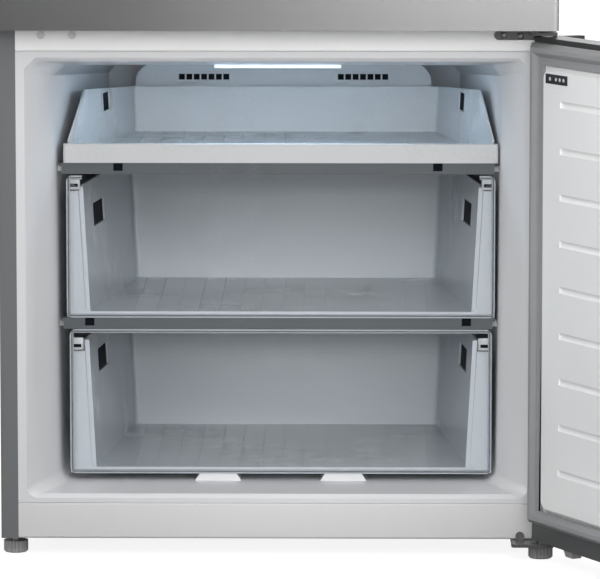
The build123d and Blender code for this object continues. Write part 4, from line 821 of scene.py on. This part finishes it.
def soft_box(name, place, target, width, height, watts, colour=(1, 1, 1)):
    """A rectangular light aimed at a point."""
    data = bpy.data.lights.new(name, "AREA")
    data.shape = "RECTANGLE"
    data.size, data.size_y = width, height
    data.energy = watts
    data.color = colour
    return hang(name, data, place, Vector(target) - Vector(place))


def spot(name, place, target, watts, spread, softness):
    """A round light that fades towards its edge, aimed at a point."""
    data = bpy.data.lights.new(name, "SPOT")
    data.energy = watts
    data.spot_size = math.radians(spread)
    data.spot_blend = 1.0
    data.shadow_soft_size = softness
    return hang(name, data, place, Vector(target) - Vector(place))


def floor_finish():
    """Matt white that keeps its shadows, and that only the camera sees lit as brightly as the backdrop."""
    made = Finish("floor_white", (0.28, 0.28, 0.28), 0.9, Specular_IOR_Level=0.1)
    tree = made.tree
    path = tree.nodes.new("ShaderNodeLightPath").outputs
    glow = tree.nodes.new("ShaderNodeEmission")
    both = tree.nodes.new("ShaderNodeAddShader")
    glow.inputs["Color"].default_value = (1, 1, 1, 1)
    seen = made.node("ShaderNodeMath", {"operation": "MAXIMUM"}, {
        0: Value(made, path["Is Camera Ray"]), 1: Value(made, path["Is Transmission Ray"])})
    tree.links.new((seen * 0.88).socket, glow.inputs["Strength"])
    tree.links.new(made.shader.outputs[0], both.inputs[0])
    tree.links.new(glow.outputs[0], both.inputs[1])
    tree.links.new(both.outputs[0], tree.nodes["Material Output"].inputs["Surface"])
    return made.material


def studio_world(fill, boards):
    """White to the camera, an even fill light, and white boards that only glossy surfaces mirror."""
    world = bpy.data.worlds.new("studio_world")
    world.use_nodes = True
    nodes, links = world.node_tree.nodes, world.node_tree.links

    def node(kind, settings=None, inputs=None):
        """One node of the world, with its settings, its values and its links."""
        made = nodes.new(kind)
        for key, value in (settings or {}).items():
            setattr(made, key, value)
        for key, value in (inputs or {}).items():
            if isinstance(value, bpy.types.NodeSocket):
                links.new(value, made.inputs[key])
            else:
                made.inputs[key].default_value = value
        return made

    path = node("ShaderNodeLightPath").outputs
    seen = node("ShaderNodeMath", {"operation": "MAXIMUM"}, {
        0: path["Is Camera Ray"], 1: path["Is Transmission Ray"]}).outputs[0]
    level = node("ShaderNodeMapRange", inputs={"Value": seen, "To Min": fill, "To Max": 1.0}).outputs[0]
    way = node("ShaderNodeTexCoord").outputs["Generated"]
    across = node("ShaderNodeSeparateXYZ", inputs={0: way}).outputs["X"]
    share = node("ShaderNodeMapRange", inputs={
        "Value": across, "From Min": -1.0, "From Max": 1.0}).outputs[0]
    pattern = node("ShaderNodeValToRGB", inputs={0: share})
    stops = ((0.0, 1.0), (0.12, 1.0), (0.18, 0.0), (0.465, 0.0), (0.535, 1.0), (0.75, 1.0), (1.0, 0.8))
    elements = pattern.color_ramp.elements
    while len(elements) < len(stops):
        elements.new(0.5)
    for element, (position, tone) in zip(elements, stops):
        element.position = position
        element.color = (tone, tone, tone, 1)
    mirrored = node("ShaderNodeMath", {"operation": "MULTIPLY_ADD"}, {
        0: pattern.outputs[0], 1: boards, 2: 0.06}).outputs[0]
    strength = node("ShaderNodeMix", {"data_type": "FLOAT"}, {
        0: path["Is Glossy Ray"], 2: level, 3: mirrored}).outputs[0]
    links.new(strength, nodes["Background"].inputs["Strength"])
    nodes["Background"].inputs["Color"].default_value = (1, 1, 1, 1)
    return world


class REFRIGERATOR_OT_studio(bpy.types.Operator):
    """Add the floor, the world, the lights and the camera."""

    bl_idname = "refrigerator.studio"
    bl_label = "Studio"

    def execute(self, context):
        studio = context.scene.refrigerator_studio
        clear_selection()
        bpy.ops.mesh.primitive_plane_add(size=60, location=(0, 12, -0.0002))
        floor = context.object
        floor.name = "studio_floor"
        floor.data.materials.append(floor_finish())
        context.scene.world = studio_world(studio.fill, studio.boards)

        key = sun("key_sun", (-0.10, 1.0, -0.16), studio.key, 60)
        near = soft_box("near_board", (-0.9, -1.9, 0.62), (0.1, 0, 0.50), 1.2, 0.9, 4)
        front = soft_box("front_board", (0.05, -0.90, 0.82), (0.0, 0, 0.55), 0.9, 0.25, 3.6)
        front.visible_camera = False
        for light in (key, near, front):
            light.visible_glossy = False
        soft_box("steel_glow", (1.6, -1.3, 1.35), (0.35, 0, 0.95), 0.5, 1.6, 3)
        soft_box("freezer_light", (0, 0.10, 0.606), (0, 0.20, 0.30), 0.30, 0.02, 0.55,
                 context.scene.refrigerator_finish.cold_light)
        spot("inner_glow", (0.10, -3.0, 0.80), (0.03, 0.46, 0.13), 170, 8, 0.25)

        data = bpy.data.cameras.new("photo_camera")
        data.sensor_width = 36
        data.lens = studio.lens
        data.clip_end = 200
        place = Vector((0.1134, -studio.distance, 1.0985))
        context.scene.camera = hang("photo_camera", data, place, Vector((0.0290, 0, 0.3406)) - place)
        context.scene.view_settings.view_transform = "Standard"
        return {"FINISHED"}


STEPS = (
    REFRIGERATOR_OT_cabinet,
    REFRIGERATOR_OT_doors,
    REFRIGERATOR_OT_freezer,
    REFRIGERATOR_OT_fridge,
    REFRIGERATOR_OT_machinery,
    REFRIGERATOR_OT_screws,
    REFRIGERATOR_OT_vents,
    REFRIGERATOR_OT_openings,
    REFRIGERATOR_OT_clips,
    REFRIGERATOR_OT_label,
    REFRIGERATOR_OT_studio,
)


class REFRIGERATOR_PT_panel(bpy.types.Panel):
    """The refrigerator's steps and settings."""

    bl_idname = "REFRIGERATOR_PT_panel"
    bl_label = "Refrigerator"
    bl_space_type = "VIEW_3D"
    bl_region_type = "UI"
    bl_category = "Refrigerator"

    def draw(self, context):
        for step in STEPS:
            self.layout.operator(step.bl_idname)
        for group in (context.scene.refrigerator_finish, context.scene.refrigerator_fitting,
                      context.scene.refrigerator_studio):
            box = self.layout.box()
            for name in group.__annotations__:
                box.prop(group, name)


CLASSES = (FinishSettings, FittingSettings, StudioSettings, *STEPS, REFRIGERATOR_PT_panel)


def register():
    for cls in CLASSES:
        bpy.utils.register_class(cls)
    bpy.types.Scene.refrigerator_finish = bpy.props.PointerProperty(type=FinishSettings)
    bpy.types.Scene.refrigerator_fitting = bpy.props.PointerProperty(type=FittingSettings)
    bpy.types.Scene.refrigerator_studio = bpy.props.PointerProperty(type=StudioSettings)


def unregister():
    del bpy.types.Scene.refrigerator_studio
    del bpy.types.Scene.refrigerator_fitting
    del bpy.types.Scene.refrigerator_finish
    for cls in reversed(CLASSES):
        bpy.utils.unregister_class(cls)


def main():
    """Runs every step in order."""
    register()
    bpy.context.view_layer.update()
    for step in STEPS:
        group, name = step.bl_idname.split(".")
        getattr(getattr(bpy.ops, group), name)()


if __name__ == "__main__":
    main()
